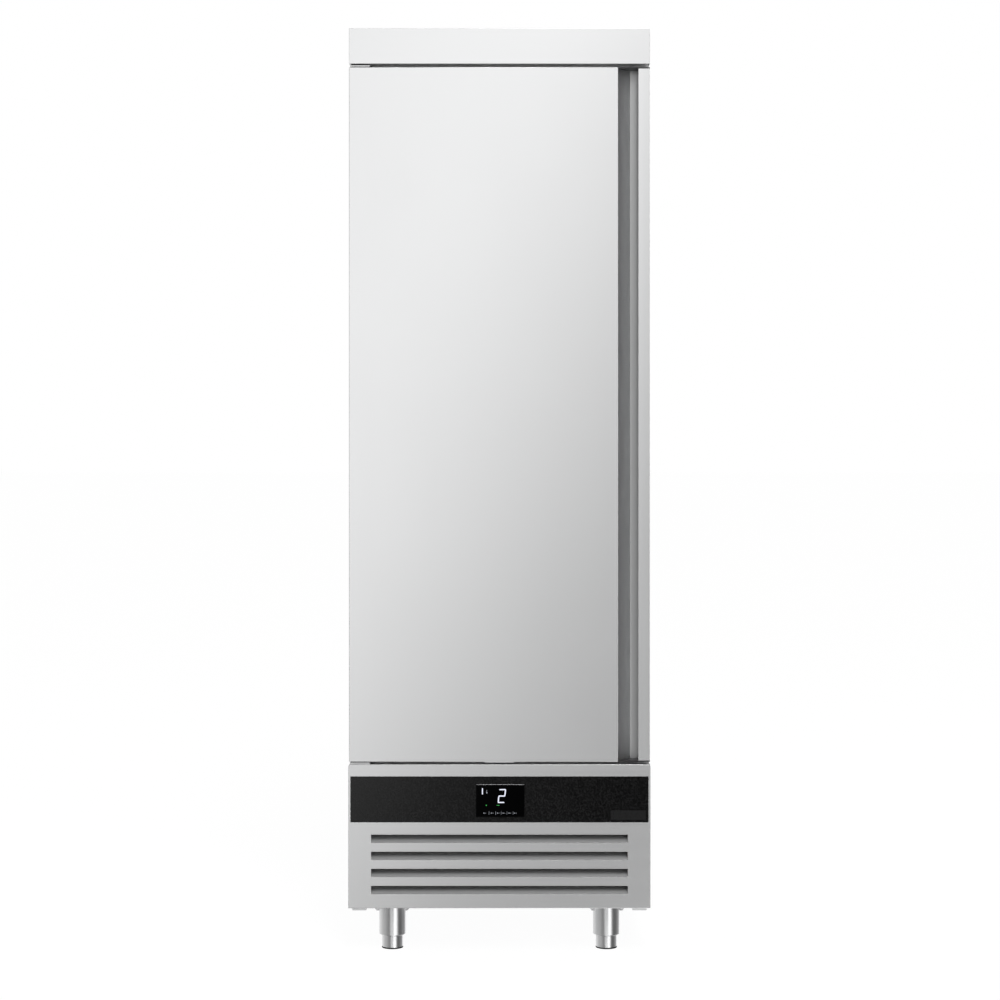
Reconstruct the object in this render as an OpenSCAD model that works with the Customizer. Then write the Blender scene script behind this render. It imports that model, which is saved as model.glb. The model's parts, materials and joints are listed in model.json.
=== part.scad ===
// Upright refrigerated cabinet with one solid door, hinged on the left.
// X runs to the right as seen from the front, Y to the back, Z up.
// The origin is on the floor, under the middle of the cabinet.

/* [Cabinet] */
// Width over the side panels
body_w = 680; // [650:5:720]
// Depth from the face of the door to the back panel
body_d = 810; // [795:5:850]
// Height over all
body_h = 2093; // [2040:1:2120]
// Clear height under the base
foot_clear = 105; // [100:1:125]
// Height of the base
base_h = 325; // [315:1:350]
// Height of the cap band
cap_h = 80; // [75:1:110]
// Thickness of the insulated walls
wall_t = 60; // [50:1:70]
// Insulation over the cavity
ceiling_t = 61; // [50:1:75]
// Sheet of the outer skin and the liner
sheet_t = 1; // [0.8:0.1:1.2]
// Sheet of the front frame
frame_t = 1.5; // [1:0.1:2]
// Depth of the insulated band over the opening
band_d = 40; // [35:1:60]
// Width of the rear flanges of the side panels
flange_w = 15; // [10:1:25]
// Width of the liner's flange behind the front frame
liner_lip = 8; // [5:1:12]

/* [Door] */
// Thickness of the door without its seal
door_t = 60; // [54:1:66]
// Gap under the door
gap_low = 6; // [5:0.5:9]
// Gap over the door
gap_top = 8; // [7:0.5:11]
// Space between the back of the door and the front frame
seal_gap = 12; // [10:0.5:15]
// Distance from the door's edges to the seal
seal_inset = 24; // [22:1:26]
// Width of the seal
seal_w = 20; // [16:1:22]
// Land of the front frame between the seal and the opening
frame_land = 1; // [0.5:0.5:4]
// Thickness of the door liner
door_liner_t = 1.5; // [1:0.5:3]
// How far the middle of the door liner stands out
plateau_h = 8; // [4:1:10]
// Distance from the door's edges to the raised middle
plateau_inset = 70; // [62:1:90]
// Width of the pull tab under the door
tab_w = 66; // [40:1:90]
// Depth of the pull tab
tab_d = 20; // [12:1:30]
// Thickness of the pull tab
tab_h = 1.7; // [1:0.1:2.5]

/* [Handle] */
// Width of the handle profile from the right edge
handle_w = 72.3; // [66:0.1:80]
// Width of the sloped wall
slope_w = 29.1; // [24:0.1:32]
// Hollow of the sloped wall
slope_hollow = 2; // [0.5:0.1:3]
// Depth of the grip
grip_d = 40; // [32:1:44]
// Width of the lip that the fingers pull
lip_w = 26; // [20:1:28]
// Depth of the turned edge of the lip
hem_d = 10; // [6:1:14]
// Sheet of the handle profile
handle_t = 1.5; // [1:0.1:2]
// Tongue of the profile behind the door skin
tongue_w = 18; // [10:1:30]
// Thickness of the end caps of the profile
end_cap_t = 3; // [2:0.1:5]

/* [Hinges] */
// Distance of the hinge axis from the left edge
pivot_x = 21; // [19:0.5:23]
// Distance of the hinge axis behind the face of the door
pivot_y = 25; // [23:0.5:27]
// Radius of the hinge pins
pin_r = 5; // [4:0.5:6]
// Reach of a hinge pin into the door
pin_l = 30; // [20:1:40]
// Wall of the bushes round the pins
bush_wall = 4; // [3:0.5:5]
// Plate of the hinge brackets
bracket_t = 4; // [3:0.5:4.5]
// Width of the hinge brackets
bracket_w = 45; // [40:1:60]
// Height of the leg of a bracket on the cabinet
bracket_leg = 50; // [40:1:60]
// Distance of the brackets from the side and from the face
bracket_inset = 2; // [1:1:4]
// Clearance of pins, bushes and screws in their holes
fit = 0.05; // [0.03:0.01:0.08]

/* [Base front] */
// Sheet of the base front panel
panel_t = 1.5; // [1.5:0.1:2]
// Radius of the upper corners of the base front panel
panel_r = 5; // [3:1:8]
// Overlap of the base front panel on the side panels
panel_lap = 20; // [16:1:40]
// Depth of the lower return of the panel
panel_lip = 20; // [12:1:22]
// Distance from the top of the base to the control strip
strip_drop = 27; // [22:1:32]
// Height of the control strip
strip_h = 104; // [95:1:110]
// Side margin of the control strip
strip_margin = 4.7; // [4:0.1:12]
// Thickness of the control strip and the display glass
strip_t = 1; // [0.6:0.1:1.2]
// Width of the display
display_w = 110; // [100:1:130]
// Height of the display
display_h = 74; // [60:1:80]
// Distance from the top of the strip to the display
display_drop = 18; // [8:1:22]
// Place of the display's middle to the right of the cabinet's middle
display_x = 2; // [-20:1:20]
// Depth of the display module
module_d = 24; // [16:1:40]
// Number of louvre slots
slot_n = 4; // [2:1:4]
// Width of the louvre slots
slot_w = 580; // [500:5:600]
// Height of a louvre slot
slot_h = 18.5; // [14:0.5:20]
// Distance between louvre slots
slot_pitch = 38.6; // [34:0.1:40]
// Distance from the control strip to the first slot
slot_gap = 27.5; // [20:0.5:30]
// Depth of the louvre blades
blade_d = 20; // [14:1:26]
// Sheet of the louvre blades
blade_t = 1.5; // [1:0.1:2]

/* [Legs] */
// Distance of the leg axes from the sides
leg_inset = 95; // [90:1:115]
// Distance of the leg axes from the face and from the back
leg_y = 80; // [70:1:100]
// Radius of the leg tubes
leg_r = 30.5; // [28:0.5:34]
// Wall of the leg tubes
leg_wall = 2; // [1.5:0.1:3]
// Height of the lower end of the leg tubes over the floor
leg_z = 29.5; // [28:0.5:36]
// Height of the guide collar in a leg tube
collar_h = 14; // [10:1:18]
// Radius of the adjustable feet
foot_r = 24; // [20:0.5:25]
// Clearance of a foot in its leg tube
foot_fit = 0.08; // [0.05:0.01:0.1]
// How far a foot can be screwed in
foot_up = 20; // [15:1:22]
// Wall of the feet
foot_wall = 4; // [2:0.5:6]
// Height of the foot pads
pad_h = 3; // [2:0.5:5]
// Side of the square leg plates
plate_w = 80; // [74:1:84]
// Thickness of the leg plates
plate_t = 5; // [4:0.5:6]
// Distance of the bolts from the middle of a leg plate
plate_bolt = 32; // [30:0.5:33]

/* [Chassis] */
// Sheet of the machine deck and the cross-member
deck_t = 2; // [1.5:0.1:3]
// Distance of the deck from the face of the panel
deck_gap = 25; // [24:1:34]
// Height of the front cross-member
beam_h = 40; // [34:1:50]
// Depth of the front cross-member
beam_d = 30; // [20:1:32]
// Width of the support rails
rail_w = 33; // [24:1:36]
// Height of the support rails
rail_h = 5; // [3:0.5:8]
// Distance of the support rails from the side panels
rail_inset = 6; // [3:1:9]
// Distance of the rails' front ends from the face of the base
rail_gap = 2.5; // [2:0.5:6]
// Distance of the rear grille from the back of the cabinet
grille_inset = 20; // [16:1:24]
// Sheet of the rear grille
grille_t = 1.5; // [1:0.1:2]
// Number of slots in the rear grille
grille_n = 7; // [4:1:7]
// Height of a slot in the rear grille
grille_slot = 10; // [6:1:12]
// Distance between the slots of the rear grille
grille_pitch = 26; // [20:1:27]
// Radius of the bore of the cable gland
gland_r = 4.5; // [3.5:0.5:6]
// Distance of the cable gland from the right side
gland_inset = 90; // [80:5:120]
// Width of the electrical box
ebox_w = 95; // [80:5:110]
// Depth of the electrical box
ebox_d = 110; // [90:5:130]
// Height of the electrical box
ebox_h = 150; // [120:5:160]
// Wall of the electrical box
ebox_wall = 3; // [2:0.5:4]

/* [Shelves] */
// Heights of the shelves over the cavity floor
shelf_heights = [300, 640, 980];
// Gap between a shelf and the front frame
shelf_front = 18; // [17:1:40]
// Gap between a shelf and the back wall
shelf_back = 10; // [6:1:14]
// Gap beside the shelves
shelf_side = 3.5; // [2:0.5:6]
// Number of long wires in a shelf
wire_n = 15; // [9:1:19]
// Radius of the long wires
wire_r = 2; // [1.5:0.5:3]
// Radius of the bars round a shelf
bar_r = 3; // [2.5:0.5:4]
// Depth of the rack posts
post_d = 10; // [8:1:14]
// Width of the rack posts
post_w = 25; // [20:1:35]
// Sheet of the rack posts and the runners
rack_t = 1.5; // [1:0.1:2]
// Distance between the slots of a post
post_pitch = 60; // [40:5:80]
// Width of the ledge of a runner
ledge_w = 18; // [14:1:24]
// Height of the edge of a runner over its ledge
runner_rise = 12; // [8:1:16]

/* [Evaporator] */
// Height of the evaporator cover under the ceiling
evap_h = 165; // [155:1:175]
// Width of the evaporator cover
evap_w = 480; // [470:5:500]
// Depth of the evaporator cover
evap_d = 515; // [505:5:540]
// Wall of the evaporator cover
evap_t = 2; // [1.5:0.5:3]
// Radius of the evaporator fan
evap_fan_r = 82; // [70:1:86]
// Distance of the fan behind the front of the cover
evap_fan_y = 110; // [105:1:125]
// Space on each side of the evaporator coil
coil_side = 30; // [20:1:35]
// Depth of the evaporator coil
coil_d = 240; // [200:5:250]
// Radius of the evaporator's fan motor
evap_motor_r = 32; // [26:1:36]
// Length of the evaporator's fan motor
evap_motor_l = 46; // [40:1:52]
// Height of the bridge that carries the evaporator's fan motor
evap_bridge_h = 15; // [10:1:20]
// Width of the bridge
evap_bridge_w = 100; // [80:5:120]
// Depth of the bridge
evap_bridge_d = 40; // [30:5:60]

/* [Condensing unit] */
// Width of the condenser
cond_w = 340; // [300:5:350]
// Height of the condenser
cond_h = 250; // [235:1:255]
// Depth of the condenser
cond_d = 48; // [36:1:54]
// Place of the condenser's middle to the right of the cabinet's middle
cond_x = 110; // [100:1:120]
// Radius of the condenser fan
cond_fan_r = 92; // [80:1:96]
// Radius of the condenser's fan motor
cond_motor_r = 38; // [30:1:42]
// Length of the condenser's fan motor
cond_motor_l = 60; // [50:1:70]
// Width of the foot under the condenser's fan motor
cond_foot_w = 100; // [70:5:120]
// Depth of the foot
cond_foot_d = 50; // [40:5:56]
// Radius of the compressor
comp_r = 82; // [74:1:86]
// Height of the compressor's shell
comp_h = 170; // [155:1:180]
// Distance of the compressor's middle from the left side
comp_inset = 190; // [180:1:200]
// Distance of the compressor's middle from the back
comp_back = 275; // [255:1:285]
// Distance from the compressor's middle to its suction stub
suction_offset = 40; // [34:1:46]
// Width and height of the cover over the compressor's terminals
terminal_w = 60; // [50:1:70]
// How far the cover stands out from the compressor's shell
terminal_d = 34; // [28:1:40]
// Length of the filter drier
drier_l = 100; // [80:1:120]
// Radius of the filter drier
drier_r = 11; // [9:0.5:13]
// Straight length of the pipes over the compressor's stubs
riser_l = 45; // [40:1:60]
// Height of the rubber grommets
grommet_h = 18; // [14:1:24]
// Radius of the suction pipe
suction_r = 6; // [5:0.5:7]
// Radius of the liquid and discharge pipes
liquid_r = 3.5; // [3:0.5:5]
// Radius of the drain tube
drain_r = 10; // [8:0.5:11]
// Distance of the drain tube from the right side
drain_inset = 190; // [175:1:200]
// Distance from the drain tube to the right end of the tray
tray_side = 150; // [130:1:152]
// Width of the evaporation tray
tray_w = 260; // [220:5:270]
// Depth of the evaporation tray
tray_d = 192; // [150:1:200]
// Height of the evaporation tray
tray_h = 42; // [30:1:50]

/* [Hidden] */

STEEL = [0.78, 0.79, 0.80];
GALVANISED = [0.66, 0.68, 0.70];
BLACK = [0.06, 0.06, 0.07];
FOAM = [0.90, 0.84, 0.62];
COPPER = [0.72, 0.45, 0.30];
$fn = 48;
over = 1; // how far a cut runs past the faces it opens

// planes of the cabinet
half = body_w / 2;
face_y = -body_d / 2;
back_y = body_d / 2;
door_back_y = face_y + door_t;
frame_y = door_back_y + seal_gap;
base_z = foot_clear + base_h;
door_z = base_z + gap_low;
top_z = body_h;
cap_z = top_z - cap_h;
door_top_z = cap_z - gap_top;
door_h = door_top_z - door_z;
shell_z = top_z - sheet_t;

// planes of the cavity
cav_x = half - wall_t;
cav_y = back_y - wall_t;
cav_z = door_z + seal_inset + seal_w + frame_land;
opening_z = door_top_z - seal_inset - seal_w - frame_land;
ceiling_z = shell_z - sheet_t - ceiling_t;
band_y = frame_y + band_d;

// hinge axis and brackets
axis_x = -half + pivot_x;
axis_y = face_y + pivot_y;
bush_r = pin_r + bush_wall;
bush_l = pin_l + 5;
bracket_gap = bracket_t + 1; // free depth behind the cap and the panel for the bracket legs
top_plate_z = door_top_z + (gap_top - bracket_t) / 2;
bracket_x = -half + bracket_inset + bracket_w / 2;
bracket_hole = bracket_w / 4;

// machine compartment
deck_z = foot_clear + deck_t;
grille_y = back_y - grille_inset;
grille_lip = 10;
grille_screw_y = grille_y - grille_t - grille_lip / 2;
pipe_y = cav_y + 17;
pipe_bend = 12;
comp_x = -half + comp_inset;
suction_x = comp_x - suction_offset;
liquid_x = comp_x + suction_offset / 2;
drain_x = half - drain_inset;
evap_z = ceiling_z - evap_h;
evap_y = cav_y - evap_d;
fan_y = evap_y + evap_fan_y;
coil_w = evap_w - 2 * coil_side;
cond_y = frame_y + beam_d + 2;
shroud_y = cond_y + cond_d;
shroud_d = 30;
cond_z = deck_z + cond_h / 2;
comp_y = back_y - comp_back;
comp_z = deck_z + grommet_h;
gland_x = half - gland_inset;
leg_x = half - leg_inset;
gland_z = deck_z + 60;

// A box given by its lowest and highest x, y and z
module block(x, y, z) {
  translate([x[0], y[0], z[0]]) cube([x[1] - x[0], y[1] - y[0], z[1] - z[0]]);
}

// A flat shape in x and z, drawn out along y
module along_y(y) {
  translate([0, y[1], 0]) rotate([90, 0, 0]) linear_extrude(y[1] - y[0]) children();
}

// A flat shape in y and z, drawn out along x
module along_x(x) {
  translate([x[0], 0, 0]) rotate([90, 0, 90]) linear_extrude(x[1] - x[0]) children();
}

// Points of an arc
function arc(c, r, from, to, steps = 6) =
  [for (i = [0:steps]) let (a = from + (to - from) * i / steps) c + r * [cos(a), sin(a)]];

// A rectangle with its upper corners rounded, as x and z ranges
function upper_round(x, z, r) = concat([[x[0], z[0]], [x[1], z[0]]],
  arc([x[1] - r, z[1] - r], r, 0, 90), arc([x[0] + r, z[1] - r], r, 90, 180));

// A rectangle with all corners rounded
function round_rect(x, z, r) = concat(arc([x[1] - r, z[1] - r], r, 0, 90),
  arc([x[0] + r, z[1] - r], r, 90, 180), arc([x[0] + r, z[0] + r], r, 180, 270),
  arc([x[1] - r, z[0] + r], r, 270, 360));

// Unit vector, and the normal to the left of a line in the plane
function unit(v) = v / norm(v);
function left_of(a, b) = unit([a.y - b.y, b.x - a.x]);

// A path moved to its left by t, with mitred corners
function beside(p, t) = [for (i = [0:len(p) - 1])
  let (m = left_of(p[max(i - 1, 0)], p[max(i, 1)]),
       n = left_of(p[min(i, len(p) - 2)], p[min(i + 1, len(p) - 1)]))
  p[i] + (m + n) * t / (1 + m * n)];

function backwards(p) = [for (i = [len(p) - 1:-1:0]) p[i]];

// The arc that rounds the corner b between a and c with radius r
function bend(a, b, c, r, steps = 4) =
  let (u = unit(a - b), v = unit(c - b), w = acos(u * v), s = 180 - w,
       m = b + unit(u + v) * r / sin(w / 2),
       p = b + u * r / tan(w / 2) - m, q = b + v * r / tan(w / 2) - m)
  [for (i = [0:steps]) m + p * sin(s - s * i / steps) / sin(s) + q * sin(s * i / steps) / sin(s)];

// A route with each inner corner rounded
function rounded(p, r) = concat([p[0]],
  [for (i = [1:len(p) - 2]) each bend(p[i - 1], p[i], p[i + 1], r)], [p[len(p) - 1]]);

// Directions along a route, and a normal that is carried along it
function headings(p) = [for (i = [0:len(p) - 1])
  unit(p[min(i + 1, len(p) - 1)] - p[max(i - 1, 0)])];
function carried(t) =
  [for (i = 0, n = unit(cross(t[0], [0.31, 0.62, 0.72])); i < len(t);
    i = i + 1, n = i < len(t) ? unit(n - (n * t[i]) * t[i]) : n) n];

// A pipe along a route
module pipe(route, r, corner_r, sides = 8) {
  p = rounded(route, corner_r);
  t = headings(p);
  n = carried(t);
  points = [for (i = [0:len(p) - 1]) for (k = [0:sides - 1])
    let (a = 360 * k / sides) p[i] + r * (cos(a) * n[i] + sin(a) * cross(t[i], n[i]))];
  walls = [for (i = [0:len(p) - 2]) for (k = [0:sides - 1])
    let (a = i * sides + k, b = i * sides + (k + 1) % sides)
    each [[a, a + sides, b], [b, a + sides, b + sides]]];
  first = [for (k = [1:sides - 2]) [0, k, k + 1]];
  e = (len(p) - 1) * sides;
  last = [for (k = [1:sides - 2]) [e, e + k + 1, e + k]];
  polyhedron(points, concat(walls, first, last));
}

// The cavity, grown by g, and open to the front
module cavity(g, front) {
  block([-cav_x - g, cav_x + g], [front, cav_y + g], [cav_z - g, opening_z + g]);
  block([-cav_x - g, cav_x + g], [band_y - g, cav_y + g], [cav_z - g, ceiling_z + g]);
}

// A pan head screw, its head up from z = 0
module pan_screw(head_r, head_h, shank_r, shank_l) {
  cylinder(r = head_r, h = head_h);
  translate([0, 0, -shank_l]) cylinder(r = shank_r, h = shank_l + head_h / 2);
}

// A countersunk screw, flush at z = 0, or its hole when grown by g
module flush_screw(head_h, g = 0) {
  translate([0, 0, -head_h]) cylinder(r1 = screw_r + g, r2 = flush_r + g, h = head_h);
  translate([0, 0, -flush_l]) cylinder(r = screw_r + g, h = flush_l - head_h / 2);
}
screw_r = 2;
flush_r = 3.8;
flush_l = 8;
pan_r = 4;
pan_h = 2;
bolt_r = 4;
bolt_head_r = 6.5;
bolt_head_h = 9; // a nut with the end of its bolt

// Places of the screws
cap_screw_y = frame_y + 12;
cap_lap = 25;
cap_screw_x = [-half + 40, -half / 3, half / 3, half - 40];
lap_screw_y = frame_y + panel_lap / 2;
lap_screw_z = [foot_clear + 40, base_z - beam_h - 10];
grille_screw_x = half - 140;
module cap_holes(g) {
  for (x = cap_screw_x) translate([x, cap_screw_y, top_z]) flush_screw(sheet_t, g);
}
module lap_holes(side, g) {
  for (z = lap_screw_z) translate([side * (half + panel_t), lap_screw_y, z])
    rotate([0, side * 90, 0]) flush_screw(panel_t, g);
}
module bracket_places(z) {
  for (s = [-1, 1]) translate([bracket_x + s * bracket_hole, frame_y - bracket_t, z])
    rotate([90, 0, 0]) children();
}
top_screw_z = top_plate_z + bracket_leg * 0.6;
low_screw_z = base_z - bracket_leg * 0.5;
bracket_screw_l = bracket_t + frame_t + 4;
leg_places = [for (x = [-1, 1]) for (y = [-1, 1]) [x * leg_x, y * (back_y - leg_y)]];
module at_leg_bolts() {
  for (p = leg_places) for (i = [-1, 1]) for (j = [-1, 1])
    translate([p.x + i * plate_bolt, p.y + j * plate_bolt, foot_clear - plate_t])
      rotate([180, 0, 0]) children();
}

// Outer shell

module side_panel(side) {
  color(STEEL) difference() {
    mirror([side < 0 ? 1 : 0, 0, 0]) union() {
      block([half - sheet_t, half], [frame_y, back_y], [foot_clear, shell_z]);
      rear_flange();
    }
    lap_holes(side, fit);
  }
}

module rear_flange() {
  block([half - sheet_t - flange_w, half - sheet_t / 2],
    [back_y - 2 * sheet_t, back_y - sheet_t], [base_z + sheet_t, shell_z - sheet_t]);
}

module side_panel_left() { side_panel(-1); }
module side_panel_right() { side_panel(1); }

inner_x = half - sheet_t; // inner face of the side panels

module back_panel() {
  color(GALVANISED) block([-inner_x, inner_x], [back_y - sheet_t, back_y], [base_z, shell_z]);
}

module top_panel() {
  color(STEEL) difference() {
    block([-inner_x, inner_x], [frame_y + frame_t, back_y - sheet_t], [shell_z - sheet_t, shell_z]);
    cap_holes(fit);
  }
}

module floor_panel() {
  color(GALVANISED) difference() {
    block([-inner_x, inner_x], [frame_y + frame_t, back_y - sheet_t], [base_z, base_z + sheet_t]);
    services(pipe_clear);
  }
}

// The channels of the pipes and the drain tube in the back wall, with room for the bend at the top
pipe_clear = 0.5;
suction_port_z = ceiling_z - 45;
liquid_port_z = ceiling_z - 100;
drain_port_z = evap_z + evap_t + drain_r + 2;
module service(x, r, z, g) {
  side = r + 2 * g;
  translate([x, pipe_y, base_z - over]) cylinder(r = r + g, h = z - base_z + over + r + g);
  translate([x, pipe_y, z]) rotate([90, 0, 0]) cylinder(r = r + g, h = pipe_y - cav_y + evap_t + over);
  block([x - side, x + side], [pipe_y - pipe_bend, pipe_y], [z - pipe_bend, z]);
}
module services(g) {
  service(suction_x, suction_r, suction_port_z, g);
  service(liquid_x, liquid_r, liquid_port_z, g);
  service(drain_x, drain_r, drain_port_z, g);
}

module foam_core() {
  color(FOAM) difference() {
    block([-inner_x, inner_x], [frame_y + frame_t, back_y - sheet_t],
      [base_z + sheet_t, shell_z - sheet_t]);
    cavity(sheet_t, frame_y);
    liner_flange(0);
    for (s = [0, 1]) mirror([s, 0, 0]) rear_flange();
    services(pipe_clear);
    cap_holes(fit);
    bracket_places(top_screw_z) translate([0, 0, -bracket_screw_l - over])
      cylinder(r = screw_r + fit, h = bracket_screw_l + over);
  }
}

module liner_flange(g) {
  block([-cav_x - liner_lip, cav_x + liner_lip], [frame_y + frame_t - g, frame_y + frame_t + sheet_t],
    [cav_z - liner_lip, opening_z + liner_lip]);
}

module inner_liner() {
  color(STEEL) difference() {
    union() {
      cavity(sheet_t, frame_y + frame_t);
      liner_flange(0);
    }
    cavity(0, frame_y);
    services(pipe_clear);
  }
}

module front_frame() {
  color(STEEL) difference() {
    block([-inner_x, inner_x], [frame_y, frame_y + frame_t], [base_z, shell_z]);
    block([-cav_x, cav_x], [frame_y - over, frame_y + frame_t + over], [cav_z, opening_z]);
    bracket_places(top_screw_z) translate([0, 0, -bracket_screw_l])
      cylinder(r = screw_r + fit, h = bracket_screw_l);
  }
}

// The cap band: a face, two sides, a return underneath and a flange over the top panel
module top_cap() {
  color(STEEL) difference() {
    union() {
      block([-half, half], [face_y, frame_y], [cap_z, top_z]);
      block([-half, half], [face_y, frame_y + cap_lap], [shell_z, top_z]);
    }
    block([-inner_x, inner_x], [face_y + sheet_t, frame_y + over], [cap_z + sheet_t, shell_z]);
    block([-inner_x, inner_x], [frame_y - bracket_gap, frame_y + over], [cap_z - over, shell_z]);
    cap_holes(fit);
  }
}

// Chassis

module front_crossmember() {
  color(GALVANISED) difference() {
    block([-inner_x, inner_x], [frame_y, frame_y + beam_d], [base_z - beam_h, base_z]);
    block([-half, half], [frame_y + deck_t, frame_y + beam_d + over],
      [base_z - beam_h + deck_t, base_z - deck_t]);
    bracket_places(low_screw_z) translate([0, 0, -bracket_screw_l])
      cylinder(r = screw_r + fit, h = bracket_screw_l);
  }
}

module machine_deck() {
  color(GALVANISED) difference() {
    block([-inner_x, inner_x], [face_y + deck_gap, grille_y - grille_t], [foot_clear, deck_z]);
    at_leg_bolts() translate([0, 0, -plate_t - deck_t - over])
      cylinder(r = bolt_r + fit, h = plate_t + deck_t + 2 * over);
    for (s = [-1, 1]) translate([s * grille_screw_x, grille_screw_y, foot_clear - over])
      cylinder(r = screw_r + fit, h = deck_t + 2 * over);
  }
}

module support_rails() {
  color(GALVANISED) for (s = [0, 1]) mirror([s, 0, 0])
    along_y([face_y + rail_gap, grille_y - grille_t])
      mirror([0, 1, 0]) polygon(upper_round([inner_x - rail_inset - rail_w, inner_x - rail_inset],
        [-foot_clear, -foot_clear + rail_h], rail_h / 2));
}

// Base front with its control strip and display

strip_z = base_z - strip_drop - strip_h;
display_z = strip_z + strip_h - display_drop - display_h;
strip_x = half + panel_t - strip_margin;
glass_x = [display_x - display_w / 2, display_x + display_w / 2];
glass_z = [display_z, display_z + display_h];
window = 6; // how much smaller than the glass the window behind it is
blade_rise = slot_h * 0.86;

// The slot bottoms, from the top slot down
slots_z = [for (i = [0:slot_n - 1]) strip_z - slot_gap - slot_h - i * slot_pitch];

module front_panel() {
  x = half + panel_t;
  color(STEEL) {
    difference() {
      union() {
        along_y([face_y, frame_y - bracket_gap])
          polygon(upper_round([-x, x], [foot_clear, base_z], panel_r));
        for (s = [-1, 1]) block([s > 0 ? half : -x, s > 0 ? x : -half],
          [face_y, frame_y + panel_lap], [foot_clear, base_z - panel_r]);
      }
      along_y([face_y + panel_t, frame_y]) polygon(upper_round([-half, half],
        [foot_clear + panel_t, base_z - panel_t], panel_r - panel_t));
      block([-half, half], [face_y + panel_lip, frame_y],
        [foot_clear - over, foot_clear + 2 * panel_t]);
      block([-strip_x, strip_x], [face_y - over, face_y + strip_t], [strip_z, strip_z + strip_h]);
      block([glass_x[0] + window, glass_x[1] - window], [face_y, face_y + panel_t + over],
        [glass_z[0] + window, glass_z[1] - window]);
      for (z = slots_z) block([-slot_w / 2, slot_w / 2], [face_y - over, face_y + panel_t + over],
        [z, z + slot_h]);
      for (s = [-1, 1]) lap_holes(s, fit);
    }
    for (z = slots_z) along_x([-slot_w / 2, slot_w / 2]) louvre(z);
  }
}

// A louvre blade rises into the base from the lower edge of its slot
module louvre(z) {
  path = [[face_y, z], [face_y + panel_t, z], [face_y + blade_d, z + blade_rise]];
  polygon(concat(backwards(path), beside(path, -blade_t)));
}

module control_strip() {
  color(BLACK) difference() {
    block([-strip_x, strip_x], [face_y, face_y + strip_t], [strip_z, strip_z + strip_h]);
    along_y([face_y - over, face_y + strip_t + over]) polygon(round_rect(glass_x, glass_z, 2));
  }
}

module display_glass() {
  color(BLACK) along_y([face_y, face_y + strip_t]) polygon(round_rect(glass_x, glass_z, 2));
}

module display_module() {
  w = window + pipe_clear;
  color([0.15, 0.25, 0.18]) {
    block([glass_x[0] + w, glass_x[1] - w], [face_y + strip_t, face_y + panel_t + over],
      [glass_z[0] + w, glass_z[1] - w]);
    block(glass_x, [face_y + panel_t, face_y + panel_t + module_d], glass_z);
  }
}

// Hinges

module bracket_plate(z, leg) {
  x = [bracket_x - bracket_w / 2, bracket_x + bracket_w / 2];
  color(STEEL) difference() {
    union() {
      block(x, [face_y + bracket_inset + 5, frame_y], [z, z + bracket_t]);
      block(x, [frame_y - bracket_t, frame_y], leg);
    }
    translate([axis_x, axis_y, z - over]) cylinder(r = pin_r + fit, h = bracket_t + 2 * over);
    for (h = [top_screw_z, low_screw_z]) bracket_places(h)
      translate([0, 0, -bracket_screw_l]) cylinder(r = screw_r + fit, h = bracket_screw_l + over);
  }
}

module hinge_bracket_top() {
  bracket_plate(top_plate_z, [top_plate_z, top_plate_z + bracket_leg]);
}

module hinge_bracket_bottom() {
  bracket_plate(base_z, [base_z - bracket_leg + bracket_t, base_z + bracket_t]);
}

module hinge_pins() {
  color(GALVANISED) {
    translate([axis_x, axis_y, base_z]) cylinder(r = pin_r, h = bracket_t + pin_l);
    translate([axis_x, axis_y, door_top_z - pin_l])
      cylinder(r = pin_r, h = pin_l + top_plate_z + bracket_t - door_top_z);
  }
}

// The lower bush has the flange that the door rests on
module hinge_bushes() {
  color(BLACK) {
    translate([axis_x, axis_y, 0]) difference() {
      union() {
        translate([0, 0, door_z - over]) cylinder(r = bush_r, h = bush_l + over);
        translate([0, 0, base_z + bracket_t]) cylinder(r = bush_r + 3, h = gap_low - bracket_t);
      }
      translate([0, 0, base_z]) cylinder(r = pin_r + fit, h = bracket_t + pin_l + over);
    }
    translate([axis_x, axis_y, door_top_z - bush_l]) difference() {
      cylinder(r = bush_r, h = bush_l);
      translate([0, 0, bush_l - pin_l - over]) cylinder(r = pin_r + fit, h = pin_l + 2 * over);
    }
  }
}

// Legs

module leg_tubes() {
  h = foot_clear - plate_t - leg_z;
  guide_r = foot_r + foot_fit;
  taper_w = 5.5; // the sleeve's end narrows to the foot over a short cone
  taper_h = 3;
  color(STEEL) for (p = leg_places) difference() {
    translate([p.x, p.y, 0]) union() {
      block([-plate_w / 2, plate_w / 2], [-plate_w / 2, plate_w / 2],
        [foot_clear - plate_t, foot_clear]);
      translate([0, 0, leg_z]) rotate_extrude() polygon([[guide_r, 0], [leg_r - taper_w, 0],
        [leg_r, taper_h], [leg_r, h + over], [leg_r - leg_wall, h + over],
        [leg_r - leg_wall, collar_h], [guide_r, collar_h]]);
    }
    at_leg_bolts() translate([0, 0, -plate_t - over]) cylinder(r = bolt_r + fit, h = plate_t + 2 * over);
  }
}

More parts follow.
